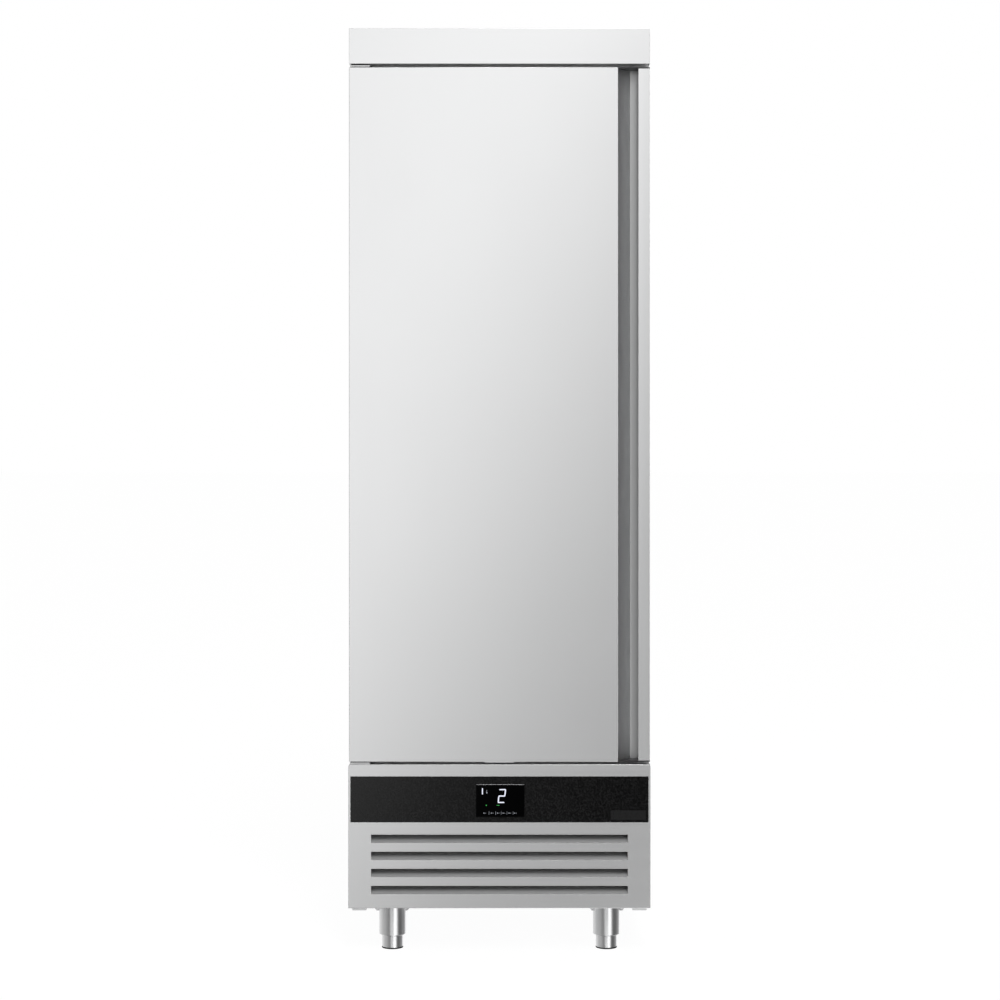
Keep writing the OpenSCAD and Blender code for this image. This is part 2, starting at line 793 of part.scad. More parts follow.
foot_top = foot_clear - plate_t - foot_up - 2;
module foot(i) {
  p = leg_places[i];
  color(STEEL) translate([p.x, p.y, 0]) rotate_extrude() polygon([[0, pad_h], [foot_r, pad_h],
    [foot_r, foot_top], [foot_r - foot_wall, foot_top], [foot_r - foot_wall, pad_h + foot_wall],
    [0, pad_h + foot_wall]]);
}
module pad(i) {
  p = leg_places[i];
  color(BLACK) translate([p.x, p.y, 0]) rotate_extrude() polygon([[0, 0], [foot_r - 1.5, 0],
    [foot_r - 0.4, 1], [foot_r - 0.4, pad_h], [0, pad_h]]);
}
module foot_front_left() { foot(0); }
module foot_rear_left() { foot(1); }
module foot_front_right() { foot(2); }
module foot_rear_right() { foot(3); }
module pad_front_left() { pad(0); }
module pad_rear_left() { pad(1); }
module pad_front_right() { pad(2); }
module pad_rear_right() { pad(3); }

// Rack and shelves

post_x = cav_x - post_d; // inner face of the posts
post_y = [frame_y + 85, cav_y - 75];
post_top = evap_z - 10;
shelf_x = post_x - rack_t - shelf_side;
shelf_y = [frame_y + shelf_front, cav_y - shelf_back];
shelf_d = shelf_y[1] - shelf_y[0];
rest_gap = 0.3; // a round wire over the flat ledge

module rack_posts() {
  slot_l = post_w - 4 * rack_t - 4;
  n = floor((post_top - cav_z - post_pitch) / post_pitch);
  color(STEEL) for (s = [0, 1]) for (y = post_y) mirror([s, 0, 0]) difference() {
    block([post_x, cav_x], [y - post_w / 2, y + post_w / 2], [cav_z, post_top]);
    block([post_x + rack_t, cav_x + over], [y - post_w / 2 + rack_t, y + post_w / 2 - rack_t],
      [cav_z - over, post_top + over]);
    for (i = [1:n]) block([post_x - over, post_x + rack_t + over], [y - slot_l / 2, y + slot_l / 2],
      [cav_z + i * post_pitch - 2, cav_z + i * post_pitch + 2]);
  }
}

module shelf_runners() {
  y = [post_y[0] - post_w, min(post_y[1] + post_w * 2, shelf_y[1])];
  color(STEEL) for (s = [0, 1]) for (h = shelf_heights) mirror([s, 0, 0]) union() {
    block([post_x - rack_t, post_x], y, [cav_z + h - runner_rise, cav_z + h + runner_rise]);
    block([post_x - ledge_w, post_x], y, [cav_z + h - rack_t, cav_z + h]);
  }
}

// A wire shelf: side and cross bars with long wires welded over them
module shelf(h) {
  z = cav_z + h + rest_gap + bar_r;
  bars_y = [for (i = [0:3]) shelf_y[0] + bar_r + i * (shelf_d - 2 * bar_r) / 3];
  pitch = 2 * (shelf_x - bar_r) / (wire_n + 1);
  color(STEEL) {
    for (y = bars_y) translate([-shelf_x, y, z]) rotate([0, 90, 0]) cylinder(r = bar_r, h = 2 * shelf_x);
    for (s = [-1, 1]) translate([s * (shelf_x - bar_r), shelf_y[1], z + bar_r / 2])
      rotate([90, 0, 0]) cylinder(r = bar_r, h = shelf_d);
    for (i = [1:wire_n]) translate([-shelf_x + bar_r + i * pitch, shelf_y[1], z + bar_r + wire_r / 2])
      rotate([90, 0, 0]) cylinder(r = wire_r, h = shelf_d);
  }
}
module shelf_lower() { shelf(shelf_heights[0]); }
module shelf_middle() { shelf(shelf_heights[1]); }
module shelf_upper() { shelf(shelf_heights[2]); }

// A fan round the z axis from z = 0, with its bore
module fan(hub_r, hub_h, tip_r, blades, pitch) {
  blade_w = tip_r * 0.42;
  difference() {
    union() {
      cylinder(r = hub_r, h = hub_h);
      for (i = [1:blades]) rotate(i * 360 / blades) translate([hub_r * 0.8, 0, hub_h / 2])
        rotate([pitch, 0, 0]) translate([0, -blade_w / 2, -0.8]) cube([tip_r - hub_r * 0.8, blade_w, 1.6]);
    }
    translate([0, 0, -over]) cylinder(r = shaft_r + fit, h = hub_h + 2 * over);
  }
}
shaft_r = 4;
hub_h = 30;

// Evaporator under the ceiling

evap_fan_z = evap_z + 22;
fan_hole_r = evap_fan_r + 10;

module evaporator_cover() {
  x = evap_w / 2;
  color([0.88, 0.88, 0.86]) difference() {
    block([-x, x], [evap_y, cav_y], [evap_z, ceiling_z]);
    block([-x + evap_t, x - evap_t], [evap_y + evap_t, cav_y - evap_t],
      [evap_z + evap_t, ceiling_z + over]);
    translate([0, fan_y, evap_z - over]) cylinder(r = fan_hole_r, h = evap_t + 2 * over);
    for (i = [0:6]) block([-x + 40, x - 40], [evap_y - over, evap_y + evap_t + over],
      [evap_z + 24 + i * 18, evap_z + 32 + i * 18]);
    services(pipe_clear);
  }
}

coil_z = [evap_z + 34, ceiling_z - 14];
coil_y = [cav_y - 40 - coil_d, cav_y - 40];
module evaporator_coil() {
  x = coil_w / 2;
  plate = 2;
  color(GALVANISED) {
    block([-x, x], coil_y, coil_z);
    for (s = [-1, 1]) block([s > 0 ? x - over : -x - plate, s > 0 ? x + plate : -x + over],
      [coil_y[0] - 4, coil_y[1] + 4], [coil_z[0] - 4, ceiling_z]);
    for (y = [coil_y[0] + 20:40:coil_y[1] - 20]) for (z = [coil_z[0] + 30, coil_z[1] - 30])
      translate([x + plate, y, z]) hairpin(30, 5);
  }
}

// Half a ring of tube, standing out of an end plate at x = 0 and spanning its tubes along z
module hairpin(span, r) {
  translate([-0.5, 0, 0]) rotate([-90, -90, 0]) rotate_extrude(angle = 180)
    translate([span / 2, 0]) circle(r = r);
}

motor_z = ceiling_z - evap_bridge_h - evap_motor_l;
shaft_end = 4; // how far a shaft stands out of its fan's hub
module evaporator_motor() {
  low = evap_fan_z - shaft_end;
  color(GALVANISED) translate([0, fan_y, 0]) {
    block([-evap_bridge_w / 2, evap_bridge_w / 2], [-evap_bridge_d / 2, evap_bridge_d / 2],
      [ceiling_z - evap_bridge_h, ceiling_z]);
    translate([0, 0, motor_z]) cylinder(r = evap_motor_r, h = evap_motor_l + over);
    translate([0, 0, low]) cylinder(r = shaft_r, h = motor_z - low + over);
  }
}

module evaporator_fan() {
  color([0.2, 0.2, 0.22]) translate([0, fan_y, evap_fan_z]) fan(22, hub_h, evap_fan_r, 5, 28);
}

module fan_guard() {
  wire = 2.5;
  ring_n = 5;
  outer = fan_hole_r + 6;
  color(BLACK) translate([0, fan_y, evap_z - 3]) {
    for (i = [1:ring_n]) let (r = outer * i / ring_n) difference() {
      cylinder(r = r, h = 3);
      translate([0, 0, -over]) cylinder(r = r - wire, h = 3 + 2 * over);
    }
    for (a = [0, 90]) rotate(a) block([-outer + 1, outer - 1], [-wire / 2, wire / 2], [0, 2]);
  }
}

// The drain tube ends over the evaporation tray
module drain_tube() {
  low = deck_z + tray_h + 6;
  bore = drain_r - 2;
  color([0.75, 0.76, 0.74]) difference() {
    union() {
      translate([drain_x, pipe_y, low]) cylinder(r = drain_r, h = drain_port_z - low + drain_r);
      translate([drain_x, pipe_y, drain_port_z]) rotate([90, 0, 0])
        cylinder(r = drain_r, h = pipe_y - cav_y + evap_t);
    }
    translate([drain_x, pipe_y, low - over]) cylinder(r = bore, h = drain_port_z - low + over);
    translate([drain_x, pipe_y, drain_port_z]) rotate([90, 0, 0])
      cylinder(r = bore, h = pipe_y - cav_y + evap_t + over);
  }
}

module temperature_probe() {
  x = fan_hole_r + 30;
  r = 3;
  color([0.8, 0.8, 0.82]) {
    translate([x, fan_y + 20, evap_z - 9]) rotate([90, 0, 0]) cylinder(r = r, h = 40);
    block([x - 6, x + 6], [fan_y - 4, fan_y + 4], [evap_z - 12.5, evap_z]);
  }
}

// Condensing unit on the deck

cond_xs = [cond_x - cond_w / 2, cond_x + cond_w / 2];
port_y = cond_y + cond_d / 2;
port_z = [deck_z + 25, deck_z + cond_h - 25];
port_x = cond_xs[0] - 14;

module condenser_coil() {
  core = 12; // the fins end this far inside the end plates' outline
  color(COPPER) {
    block([cond_xs[0] + 2, cond_xs[1] - 2], [cond_y + 3, cond_y + cond_d - 3],
      [deck_z + core, deck_z + cond_h - core]);
    for (x = [cond_xs[0], cond_xs[1] - 2.5]) block([x, x + 2.5], [cond_y, cond_y + cond_d],
      [deck_z, deck_z + cond_h]);
    for (z = port_z) translate([port_x, port_y, z]) rotate([0, 90, 0])
      cylinder(r = liquid_r + 1.5, h = 16);
    for (i = [0:3]) translate([cond_xs[1], port_y, deck_z + 50 + i * (cond_h - 100) / 3])
      hairpin(30, 5);
  }
}

module condenser_shroud() {
  wall = 1.5;
  color(BLACK) difference() {
    block(cond_xs, [shroud_y, shroud_y + shroud_d], [deck_z, deck_z + cond_h]);
    block([cond_xs[0] + wall, cond_xs[1] - wall], [shroud_y - over, shroud_y + shroud_d - wall],
      [deck_z + wall, deck_z + cond_h - wall]);
    translate([cond_x, shroud_y, cond_z]) rotate([-90, 0, 0])
      cylinder(r = cond_fan_r + 8, h = shroud_d + over);
  }
}

cond_fan_y = shroud_y + shroud_d - 15;
cond_motor_y = cond_fan_y + hub_h + 2 * shaft_end;
module condenser_fan() {
  color([0.2, 0.2, 0.22]) translate([cond_x, cond_fan_y, cond_z]) rotate([-90, 0, 0])
    fan(24, hub_h, cond_fan_r, 5, 28);
}

// The motor stands on a post with a foot plate
module condenser_motor() {
  middle = cond_motor_y + cond_motor_l / 2;
  shaft_y = cond_fan_y - shaft_end;
  post = [cond_foot_w * 0.14, cond_foot_d * 0.4];
  color(GALVANISED) {
    translate([cond_x, cond_motor_y, cond_z]) rotate([-90, 0, 0])
      cylinder(r = cond_motor_r, h = cond_motor_l);
    translate([cond_x, shaft_y, cond_z]) rotate([-90, 0, 0])
      cylinder(r = shaft_r, h = cond_motor_y - shaft_y + over);
    block([cond_x - post[0], cond_x + post[0]], [middle - post[1], middle + post[1]],
      [deck_z, cond_z - cond_motor_r / 2]);
    block([cond_x - cond_foot_w / 2, cond_x + cond_foot_w / 2],
      [middle - cond_foot_d / 2, middle + cond_foot_d / 2], [deck_z, deck_z + foot_plate_t]);
  }
}

foot_plate = [105, 75]; // half sizes of the compressor's foot plate
foot_plate_t = 3;
stub_h = 40;
stub_y = comp_y - comp_r * 0.45;
module compressor() {
  bulge = comp_r * 0.45;
  color([0.12, 0.12, 0.13]) {
    difference() {
      block([comp_x - foot_plate[0], comp_x + foot_plate[0]],
        [comp_y - foot_plate[1], comp_y + foot_plate[1]], [comp_z, comp_z + foot_plate_t]);
      at_grommets() cylinder(r = 6, h = 4 * grommet_h, center = true);
    }
    translate([comp_x, comp_y, comp_z + 2]) rotate_extrude() polygon(concat([[0, 0]],
      arc([comp_r - bulge, bulge], bulge, -90, 0), arc([comp_r - bulge, comp_h - bulge], bulge, 0, 90),
      [[0, comp_h]]));
    for (x = [suction_x, comp_x + (comp_x - suction_x)]) translate([x, stub_y, comp_z + comp_h - stub_h])
      cylinder(r = suction_r + 1.5, h = stub_h + 10);
  }
}

module at_grommets() {
  for (i = [-1, 1]) for (j = [-1, 1])
    translate([comp_x + i * (foot_plate[0] - 15), comp_y + j * (foot_plate[1] - 12), deck_z]) children();
}

module compressor_grommets() {
  color(BLACK) at_grommets() rotate_extrude() polygon([[3, 0], [11, 0], [11, grommet_h],
    [5.9, grommet_h], [5.9, grommet_h + 5], [3, grommet_h + 5]]);
}

module terminal_cover() {
  color(BLACK) difference() {
    block([comp_x + comp_r * 0.8, comp_x + comp_r + terminal_d],
      [comp_y - terminal_w / 2, comp_y + terminal_w / 2], [comp_z + terminal_w, comp_z + 2 * terminal_w]);
    translate([comp_x, comp_y, comp_z]) cylinder(r = comp_r + 0.2, h = comp_h);
  }
}

// The brazed pipe circuit with its filter drier
discharge_x = 2 * comp_x - suction_x;
stub_z = comp_z + comp_h + 10;
drier_z = port_z[0] + 3 * pipe_bend;
module copper_pipes() {
  high = max(stub_z + riser_l, port_z[1] + 3 * pipe_bend);
  coil_back = coil_y[1];
  color(COPPER) {
    pipe([[discharge_x, stub_y, stub_z], [discharge_x, stub_y, high], [discharge_x, port_y, high],
      [discharge_x, port_y, port_z[1]], [port_x, port_y, port_z[1]]], liquid_r, pipe_bend);
    pipe([[port_x, port_y, port_z[0]], [liquid_x, port_y, port_z[0]], [liquid_x, port_y, drier_z]],
      liquid_r, pipe_bend);
    translate([liquid_x, port_y, drier_z]) cylinder(r = drier_r, h = drier_l);
    pipe([[liquid_x, port_y, drier_z + drier_l], [liquid_x, port_y, high + 20],
      [liquid_x, pipe_y, high + 20], [liquid_x, pipe_y, liquid_port_z],
      [liquid_x, coil_back, liquid_port_z]], liquid_r, pipe_bend);
    pipe([[suction_x, stub_y, stub_z], [suction_x, stub_y, high], [suction_x, pipe_y, high],
      [suction_x, pipe_y, suction_port_z], [suction_x, coil_back, suction_port_z]],
      suction_r, pipe_bend);
  }
}

module evaporation_tray() {
  x = [drain_x + tray_side - tray_w, drain_x + tray_side];
  back = grille_y - grille_t - grille_lip - 1;
  y = [back - tray_d, back];
  wall = 2;
  color([0.85, 0.85, 0.83]) difference() {
    block(x, y, [deck_z, deck_z + tray_h]);
    block([x[0] + wall, x[1] - wall], [y[0] + wall, y[1] - wall],
      [deck_z + wall, deck_z + tray_h + over]);
  }
}

// The electrical box hangs on the left side panel
module electrical_box() {
  x = [-inner_x, -inner_x + ebox_w];
  y = [frame_y + beam_d + 10, frame_y + beam_d + 10 + ebox_d];
  z = [base_z - 90 - ebox_h, base_z - 90];
  t = ebox_wall;
  color([0.82, 0.82, 0.80]) difference() {
    block(x, y, z);
    block([x[0] + t, x[1] - t], [y[0] + t, y[1] - t], [z[0] + t, z[1] - t]);
  }
}

module rear_grille() {
  y = grille_y - grille_t;
  first = base_z - 40 - (grille_n - 1) * grille_pitch;
  color(GALVANISED) difference() {
    union() {
      block([-inner_x, inner_x], [y, grille_y], [foot_clear, base_z]);
      block([-inner_x, inner_x], [y - grille_lip, grille_y], [base_z - grille_t, base_z]);
      block([-inner_x, inner_x], [grille_y - grille_t - grille_lip, grille_y],
        [deck_z, deck_z + grille_t]);
    }
    for (i = [0:grille_n - 1]) block([-inner_x + 50, inner_x - 50], [y - over, grille_y + over],
      [first + i * grille_pitch, first + i * grille_pitch + grille_slot]);
    translate([gland_x, y - over, gland_z]) rotate([-90, 0, 0])
      cylinder(r = gland_r + gland_wall + fit, h = grille_t + 2 * over);
    for (s = [-1, 1]) translate([s * grille_screw_x, grille_screw_y, deck_z - over])
      cylinder(r = screw_r + fit, h = grille_t + 2 * over);
  }
}

// The gland, with its nut inside the grille and its nose behind it
gland_wall = 4;
module cable_gland() {
  nose = grille_inset - 2;
  nut = 6;
  inside = nut + grille_t;
  color(BLACK) translate([gland_x, grille_y, gland_z]) rotate([-90, 0, 0]) difference() {
    union() {
      translate([0, 0, -inside]) cylinder(r = gland_r + gland_wall, h = inside + over);
      translate([0, 0, -inside]) cylinder(r = gland_r + 9, h = nut, $fn = 6);
      cylinder(r = gland_r + 9.5, h = 5);
      cylinder(r1 = gland_r + 7, r2 = gland_r + gland_wall - 0.5, h = nose);
    }
    translate([0, 0, -inside - over]) cylinder(r = gland_r, h = inside + nose + 2 * over);
  }
}

module screws() {
  color(STEEL) {
    cap_holes(0);
    for (s = [-1, 1]) lap_holes(s, 0);
    for (z = [top_screw_z, low_screw_z]) bracket_places(z)
      pan_screw(pan_r, pan_h, screw_r, bracket_screw_l);
    at_leg_bolts() pan_screw(bolt_head_r, bolt_head_h, bolt_r, plate_t + deck_t);
    for (s = [-1, 1]) translate([s * grille_screw_x, grille_screw_y, deck_z + grille_t])
      pan_screw(pan_r, pan_h, screw_r, grille_t + deck_t + 1);
  }
}

// Door

handle_x = half - handle_w;   // where the skin ends and the sloped wall begins
floor_y = face_y + grip_d;    // the floor of the grip
handle_z = [door_z + end_cap_t, door_top_z - end_cap_t];

// The visible face of the bent profile, from its tongue behind the skin to the turned edge of the lip
slope = [for (i = [0:8]) let (f = i / 8, a = [handle_x, face_y + sheet_t],
  b = [handle_x + slope_w, floor_y]) a + f * (b - a) + 4 * f * (1 - f) * slope_hollow * left_of(a, b)];
grip_path = concat([[handle_x - tongue_w, face_y + sheet_t]], slope, [[half - handle_t, floor_y],
  [half - handle_t, face_y + handle_t], [half - lip_w + handle_t, face_y + handle_t],
  [half - lip_w + handle_t, face_y + hem_d]]);
grip_back = beside(grip_path, handle_t);
behind_slope = [for (i = [1:9]) grip_back[i]];

module handle_profile() {
  color(STEEL) translate([0, 0, handle_z[0]]) linear_extrude(handle_z[1] - handle_z[0])
    polygon(concat(grip_path, backwards(grip_back)));
}

// The plan of the door behind the grip, which the folded ends of the skin have
skin_plan = concat([[-half, face_y], [handle_x, face_y], [handle_x, face_y + sheet_t]], behind_slope,
  [[half, floor_y + handle_t], [half, door_back_y], [-half, door_back_y]]);

module handle_end_caps() {
  plan = concat([[handle_x, face_y], [half, face_y], [half, floor_y + handle_t]],
    backwards(behind_slope), [[handle_x, face_y + sheet_t]]);
  color(BLACK) for (z = [door_z, door_top_z - end_cap_t])
    translate([0, 0, z]) linear_extrude(end_cap_t) polygon(plan);
}

module bush_holes() {
  for (z = [door_z - over, door_top_z - bush_l - 0.5]) translate([axis_x, axis_y, z])
    cylinder(r = bush_r + fit, h = bush_l + over + 0.5);
}

module door_skin() {
  color(STEEL) difference() {
    union() {
      block([-half, handle_x], [face_y, face_y + sheet_t], [door_z, door_top_z]);
      block([-half, -inner_x], [face_y, door_back_y], [door_z, door_top_z]);
      block([inner_x, half], [floor_y + handle_t, door_back_y], [door_z, door_top_z]);
      for (z = [door_z, door_top_z - sheet_t]) translate([0, 0, z]) linear_extrude(sheet_t)
        polygon(skin_plan);
      along_y([face_y, face_y + tab_d]) mirror([0, 1, 0])
        polygon(upper_round([-tab_w / 2, tab_w / 2], [-door_z - over / 2, -door_z + tab_h], tab_h / 2));
    }
    bush_holes();
  }
}

// The raised middle of the door liner, grown inwards by g
plateau_z = [door_z + plateau_inset, door_top_z - plateau_inset];
module plateau(g) {
  block([-half + plateau_inset + g, half - plateau_inset - g],
    [door_back_y - door_liner_t - over, door_back_y + plateau_h - g], [plateau_z[0] + g, plateau_z[1] - g]);
}

module door_foam() {
  plan = concat([[-inner_x, face_y + sheet_t], [handle_x - tongue_w, face_y + sheet_t]],
    [grip_back[0]], behind_slope, [[inner_x, floor_y + handle_t],
    [inner_x, door_back_y - door_liner_t], [-inner_x, door_back_y - door_liner_t]]);
  color(FOAM) difference() {
    union() {
      translate([0, 0, door_z + sheet_t]) linear_extrude(door_h - 2 * sheet_t) polygon(plan);
      plateau(door_liner_t);
    }
    bush_holes();
  }
}

module door_liner() {
  color([0.90, 0.90, 0.89]) difference() {
    union() {
      block([-inner_x, inner_x], [door_back_y - door_liner_t, door_back_y],
        [door_z + sheet_t, door_top_z - sheet_t]);
      difference() {
        plateau(0);
        block([-half, half], [face_y, door_back_y - door_liner_t], [door_z, door_top_z]);
      }
    }
    plateau(door_liner_t);
  }
}

// A frame of the seal between two insets from the door's edges
module seal_ring(y, outer, inner) {
  difference() {
    block([-half + outer, half - outer], y, [door_z + outer, door_top_z - outer]);
    block([-half + inner, half - inner], [y[0] - over, y[1] + over], [door_z + inner, door_top_z - inner]);
  }
}

seal_clear = 0.3; // between the seal and the front frame
module door_gasket() {
  a = seal_inset;
  b = seal_inset + seal_w;
  magnet = 3.5;
  foot_h = 3;
  y = [door_back_y, door_back_y + foot_h, frame_y - seal_clear - magnet, frame_y - seal_clear];
  color([0.35, 0.36, 0.38]) {
    seal_ring([y[0], y[1]], a, b);
    seal_ring([y[1] - 0.5, y[2] + 0.5], a + 4, b - 5);
    seal_ring([y[2], y[3]], a + 1.5, b - 1.5);
  }
}

side_panel_left();
side_panel_right();
back_panel();
top_panel();
floor_panel();
foam_core();
inner_liner();
front_frame();
top_cap();
front_crossmember();
machine_deck();
support_rails();
front_panel();
control_strip();
display_glass();
display_module();
hinge_bracket_top();
hinge_bracket_bottom();
hinge_pins();
leg_tubes();
rack_posts();
shelf_runners();
evaporator_cover();
evaporator_coil();
evaporator_motor();
fan_guard();
drain_tube();
temperature_probe();
condenser_coil();
condenser_shroud();
condenser_motor();
compressor();
compressor_grommets();
terminal_cover();
copper_pipes();
evaporation_tray();
electrical_box();
rear_grille();
cable_gland();
screws();
evaporator_fan();
condenser_fan();
shelf_lower();
shelf_middle();
shelf_upper();
foot_front_left();
foot_front_right();
foot_rear_left();
foot_rear_right();
pad_front_left();
pad_front_right();
pad_rear_left();
pad_rear_right();
door_skin();
door_foam();
door_liner();
door_gasket();
handle_profile();
handle_end_caps();
hinge_bushes();
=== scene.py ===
"""Looks of an upright refrigerated cabinet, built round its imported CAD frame.

Lengths of the cabinet are written in millimetres and turned into metres by MM. X runs to the right
as seen from the front, Y to the back and Z up, from the floor under the middle of the cabinet.
"""

import json
import logging
import math
from collections.abc import Callable, Iterable, Sequence
from dataclasses import dataclass, field
from enum import Enum

import bmesh
import bpy
from mathutils import Matrix, Vector

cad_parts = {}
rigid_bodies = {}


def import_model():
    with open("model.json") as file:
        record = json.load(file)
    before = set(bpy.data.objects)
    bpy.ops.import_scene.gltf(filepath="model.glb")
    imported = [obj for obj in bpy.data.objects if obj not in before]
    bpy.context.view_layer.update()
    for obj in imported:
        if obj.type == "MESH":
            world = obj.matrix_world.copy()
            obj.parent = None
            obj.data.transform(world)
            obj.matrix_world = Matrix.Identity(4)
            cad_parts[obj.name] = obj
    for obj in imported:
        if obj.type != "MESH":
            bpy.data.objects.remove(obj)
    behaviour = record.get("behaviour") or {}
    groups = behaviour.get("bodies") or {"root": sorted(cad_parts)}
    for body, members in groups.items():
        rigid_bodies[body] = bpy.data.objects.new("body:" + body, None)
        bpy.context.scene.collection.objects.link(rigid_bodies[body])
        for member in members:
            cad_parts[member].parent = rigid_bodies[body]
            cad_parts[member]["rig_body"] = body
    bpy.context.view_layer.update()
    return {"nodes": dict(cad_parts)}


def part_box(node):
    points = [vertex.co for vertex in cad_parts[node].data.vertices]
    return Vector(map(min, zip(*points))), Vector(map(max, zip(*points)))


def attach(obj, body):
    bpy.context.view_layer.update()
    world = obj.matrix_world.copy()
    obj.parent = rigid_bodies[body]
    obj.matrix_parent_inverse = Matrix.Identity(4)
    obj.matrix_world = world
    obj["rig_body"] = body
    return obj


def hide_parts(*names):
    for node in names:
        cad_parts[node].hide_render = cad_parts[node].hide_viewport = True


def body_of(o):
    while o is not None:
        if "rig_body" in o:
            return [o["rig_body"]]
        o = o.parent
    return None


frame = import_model()

logging.basicConfig(level=logging.INFO, format="%(message)s")
log = logging.getLogger("cabinet")

MM = 0.001
WELD = 1e-6  # loose corners closer than this are one
FLAT = math.radians(0.5)  # faces that differ by less than this are one flat
CREASE = math.radians(32)  # edges sharper than this stay crisp
FOLD = math.radians(40)  # edges sharper than this are rounded
ON = 0.05  # a point that is nearer than this to a plane, in millimetres, lies on it
NEAR = 0.5  # a point that is nearer than this to a plane, in millimetres, belongs to it
FACE_Y = -405.0  # the face of the door and the base
X, Y, Z = Vector((1, 0, 0)), Vector((0, 1, 0)), Vector((0, 0, 1))

Colour = tuple[float, float, float]
Pick = Callable[[Vector], bool]


def mm(x: float, y: float, z: float) -> Vector:
    """Returns a point given in millimetres as a vector in metres."""
    return Vector((x, y, z)) * MM


class Pattern(Enum):
    """Ways in which a finish varies over its surface."""

    BRUSHED = "fine lines from brushing"
    SPANGLE = "crystals of a zinc coat"
    GRAINED = "fine grain of moulded plastic or textured film"
    CAST = "soft unevenness of paint, foam or rubber"


class Wiring:
    """Adds shader nodes to a tree and joins them."""

    def __init__(self, tree: bpy.types.NodeTree) -> None:
        """Starts on a node tree, which is emptied."""
        self.tree = tree
        tree.nodes.clear()

    def add(self, kind: str, inputs: dict | None = None, **settings: object) -> bpy.types.Node:
        """Adds a node.

        Args:
            kind: The node's type, without the ShaderNode that it starts with.
            inputs: Values or sockets for its inputs, by name or number.
            settings: Its other properties.

        Returns:
            The new node.
        """
        prefix = "" if kind.startswith("Node") else "ShaderNode"
        node = self.tree.nodes.new(prefix + kind)
        for name, value in settings.items():
            setattr(node, name, value)
        for name, value in (inputs or {}).items():
            if isinstance(value, bpy.types.NodeSocket):
                self.tree.links.new(value, node.inputs[name])
            else:
                node.inputs[name].default_value = value
        return node

    def math(self, operation: str, *values: object, clamp: bool = False) -> bpy.types.NodeSocket:
        """Adds a Math node.

        Args:
            operation: What it does, such as MULTIPLY.
            values: Its numbers or sockets in order.
            clamp: Whether the result is kept between 0 and 1.

        Returns:
            The socket with the result.
        """
        return self.add("Math", dict(enumerate(values)), operation=operation,
                        use_clamp=clamp).outputs[0]

    def mix(self, factor: object, first: object, second: object) -> bpy.types.NodeSocket:
        """Mixes two colours, given as tuples of four or as sockets, and returns the result."""
        inputs = {0: factor, 6: first, 7: second}  # where a Mix node takes colours
        return self.add("Mix", inputs, data_type="RGBA").outputs[2]


class Effect:
    """A shader node group that several finishes share."""

    def __init__(self, name: str, inputs: dict[str, float | None], outputs: Sequence[str]) -> None:
        """Starts a group.

        Args:
            name: Name of the group.
            inputs: Its inputs with their first values, where None stands for a vector.
            outputs: Its outputs, all of them values.
        """
        self.tree = bpy.data.node_groups.new(name, "ShaderNodeTree")
        self.wire = Wiring(self.tree)
        for label, value in inputs.items():
            kind = "NodeSocketVector" if value is None else "NodeSocketFloat"
            socket = self.tree.interface.new_socket(label, in_out="INPUT", socket_type=kind)
            if value is not None:
                socket.default_value = value
        for label in outputs:
            self.tree.interface.new_socket(label, in_out="OUTPUT", socket_type="NodeSocketFloat")
        self.given = self.wire.add("NodeGroupInput").outputs
        self.result = self.wire.add("NodeGroupOutput")

    def put_out(self, **values: bpy.types.NodeSocket) -> bpy.types.NodeTree:
        """Joins sockets to the group's outputs.

        Args:
            values: The sockets by the names of the outputs.

        Returns:
            The finished group.
        """
        for label, socket in values.items():
            self.tree.links.new(socket, self.result.inputs[label])
        return self.tree


def brushed_effect() -> bpy.types.NodeTree:
    """Builds the group for brushed metal: fine lines with broader bands in them.

    Returns:
        The group.
    """
    effect = Effect("Brushed lines", {"Vector": None, "Bands": 0.35}, ["Lines", "Height"])
    wire, given = effect.wire, effect.given
    fine = wire.add("TexNoise", {"Vector": given["Vector"], "Scale": 1.0, "Detail": 2.0,
                                 "Roughness": 0.6}).outputs[0]
    broad = wire.add("TexNoise", {"Vector": given["Vector"], "Scale": 0.09, "Detail": 1.0}).outputs[0]
    fine = wire.math("MULTIPLY", fine, wire.math("SUBTRACT", 1.0, given["Bands"]))
    both = wire.math("ADD", fine, wire.math("MULTIPLY", broad, given["Bands"]))
    lines = wire.add("MapRange", {"Value": both, "From Min": 0.3, "From Max": 0.7}).outputs[0]
    return effect.put_out(Lines=lines, Height=both)


def cloud_effect() -> bpy.types.NodeTree:
    """Builds the group for slow changes over a surface, such as handling marks.

    Returns:
        The group.
    """
    effect = Effect("Slow clouds", {"Vector": None, "Scale": 4.0, "Spread": 0.25}, ["Cloud"])
    wire, given = effect.wire, effect.given
    noise = wire.add("TexNoise", {"Vector": given["Vector"], "Scale": given["Scale"], "Detail": 3.0,
                                  "Roughness": 0.45, "Distortion": 0.4}).outputs[0]
    low = wire.math("SUBTRACT", 0.5, given["Spread"])
    high = wire.math("ADD", 0.5, given["Spread"])
    cloud = wire.add("MapRange", {"Value": noise, "From Min": low, "From Max": high}).outputs[0]
    return effect.put_out(Cloud=cloud)


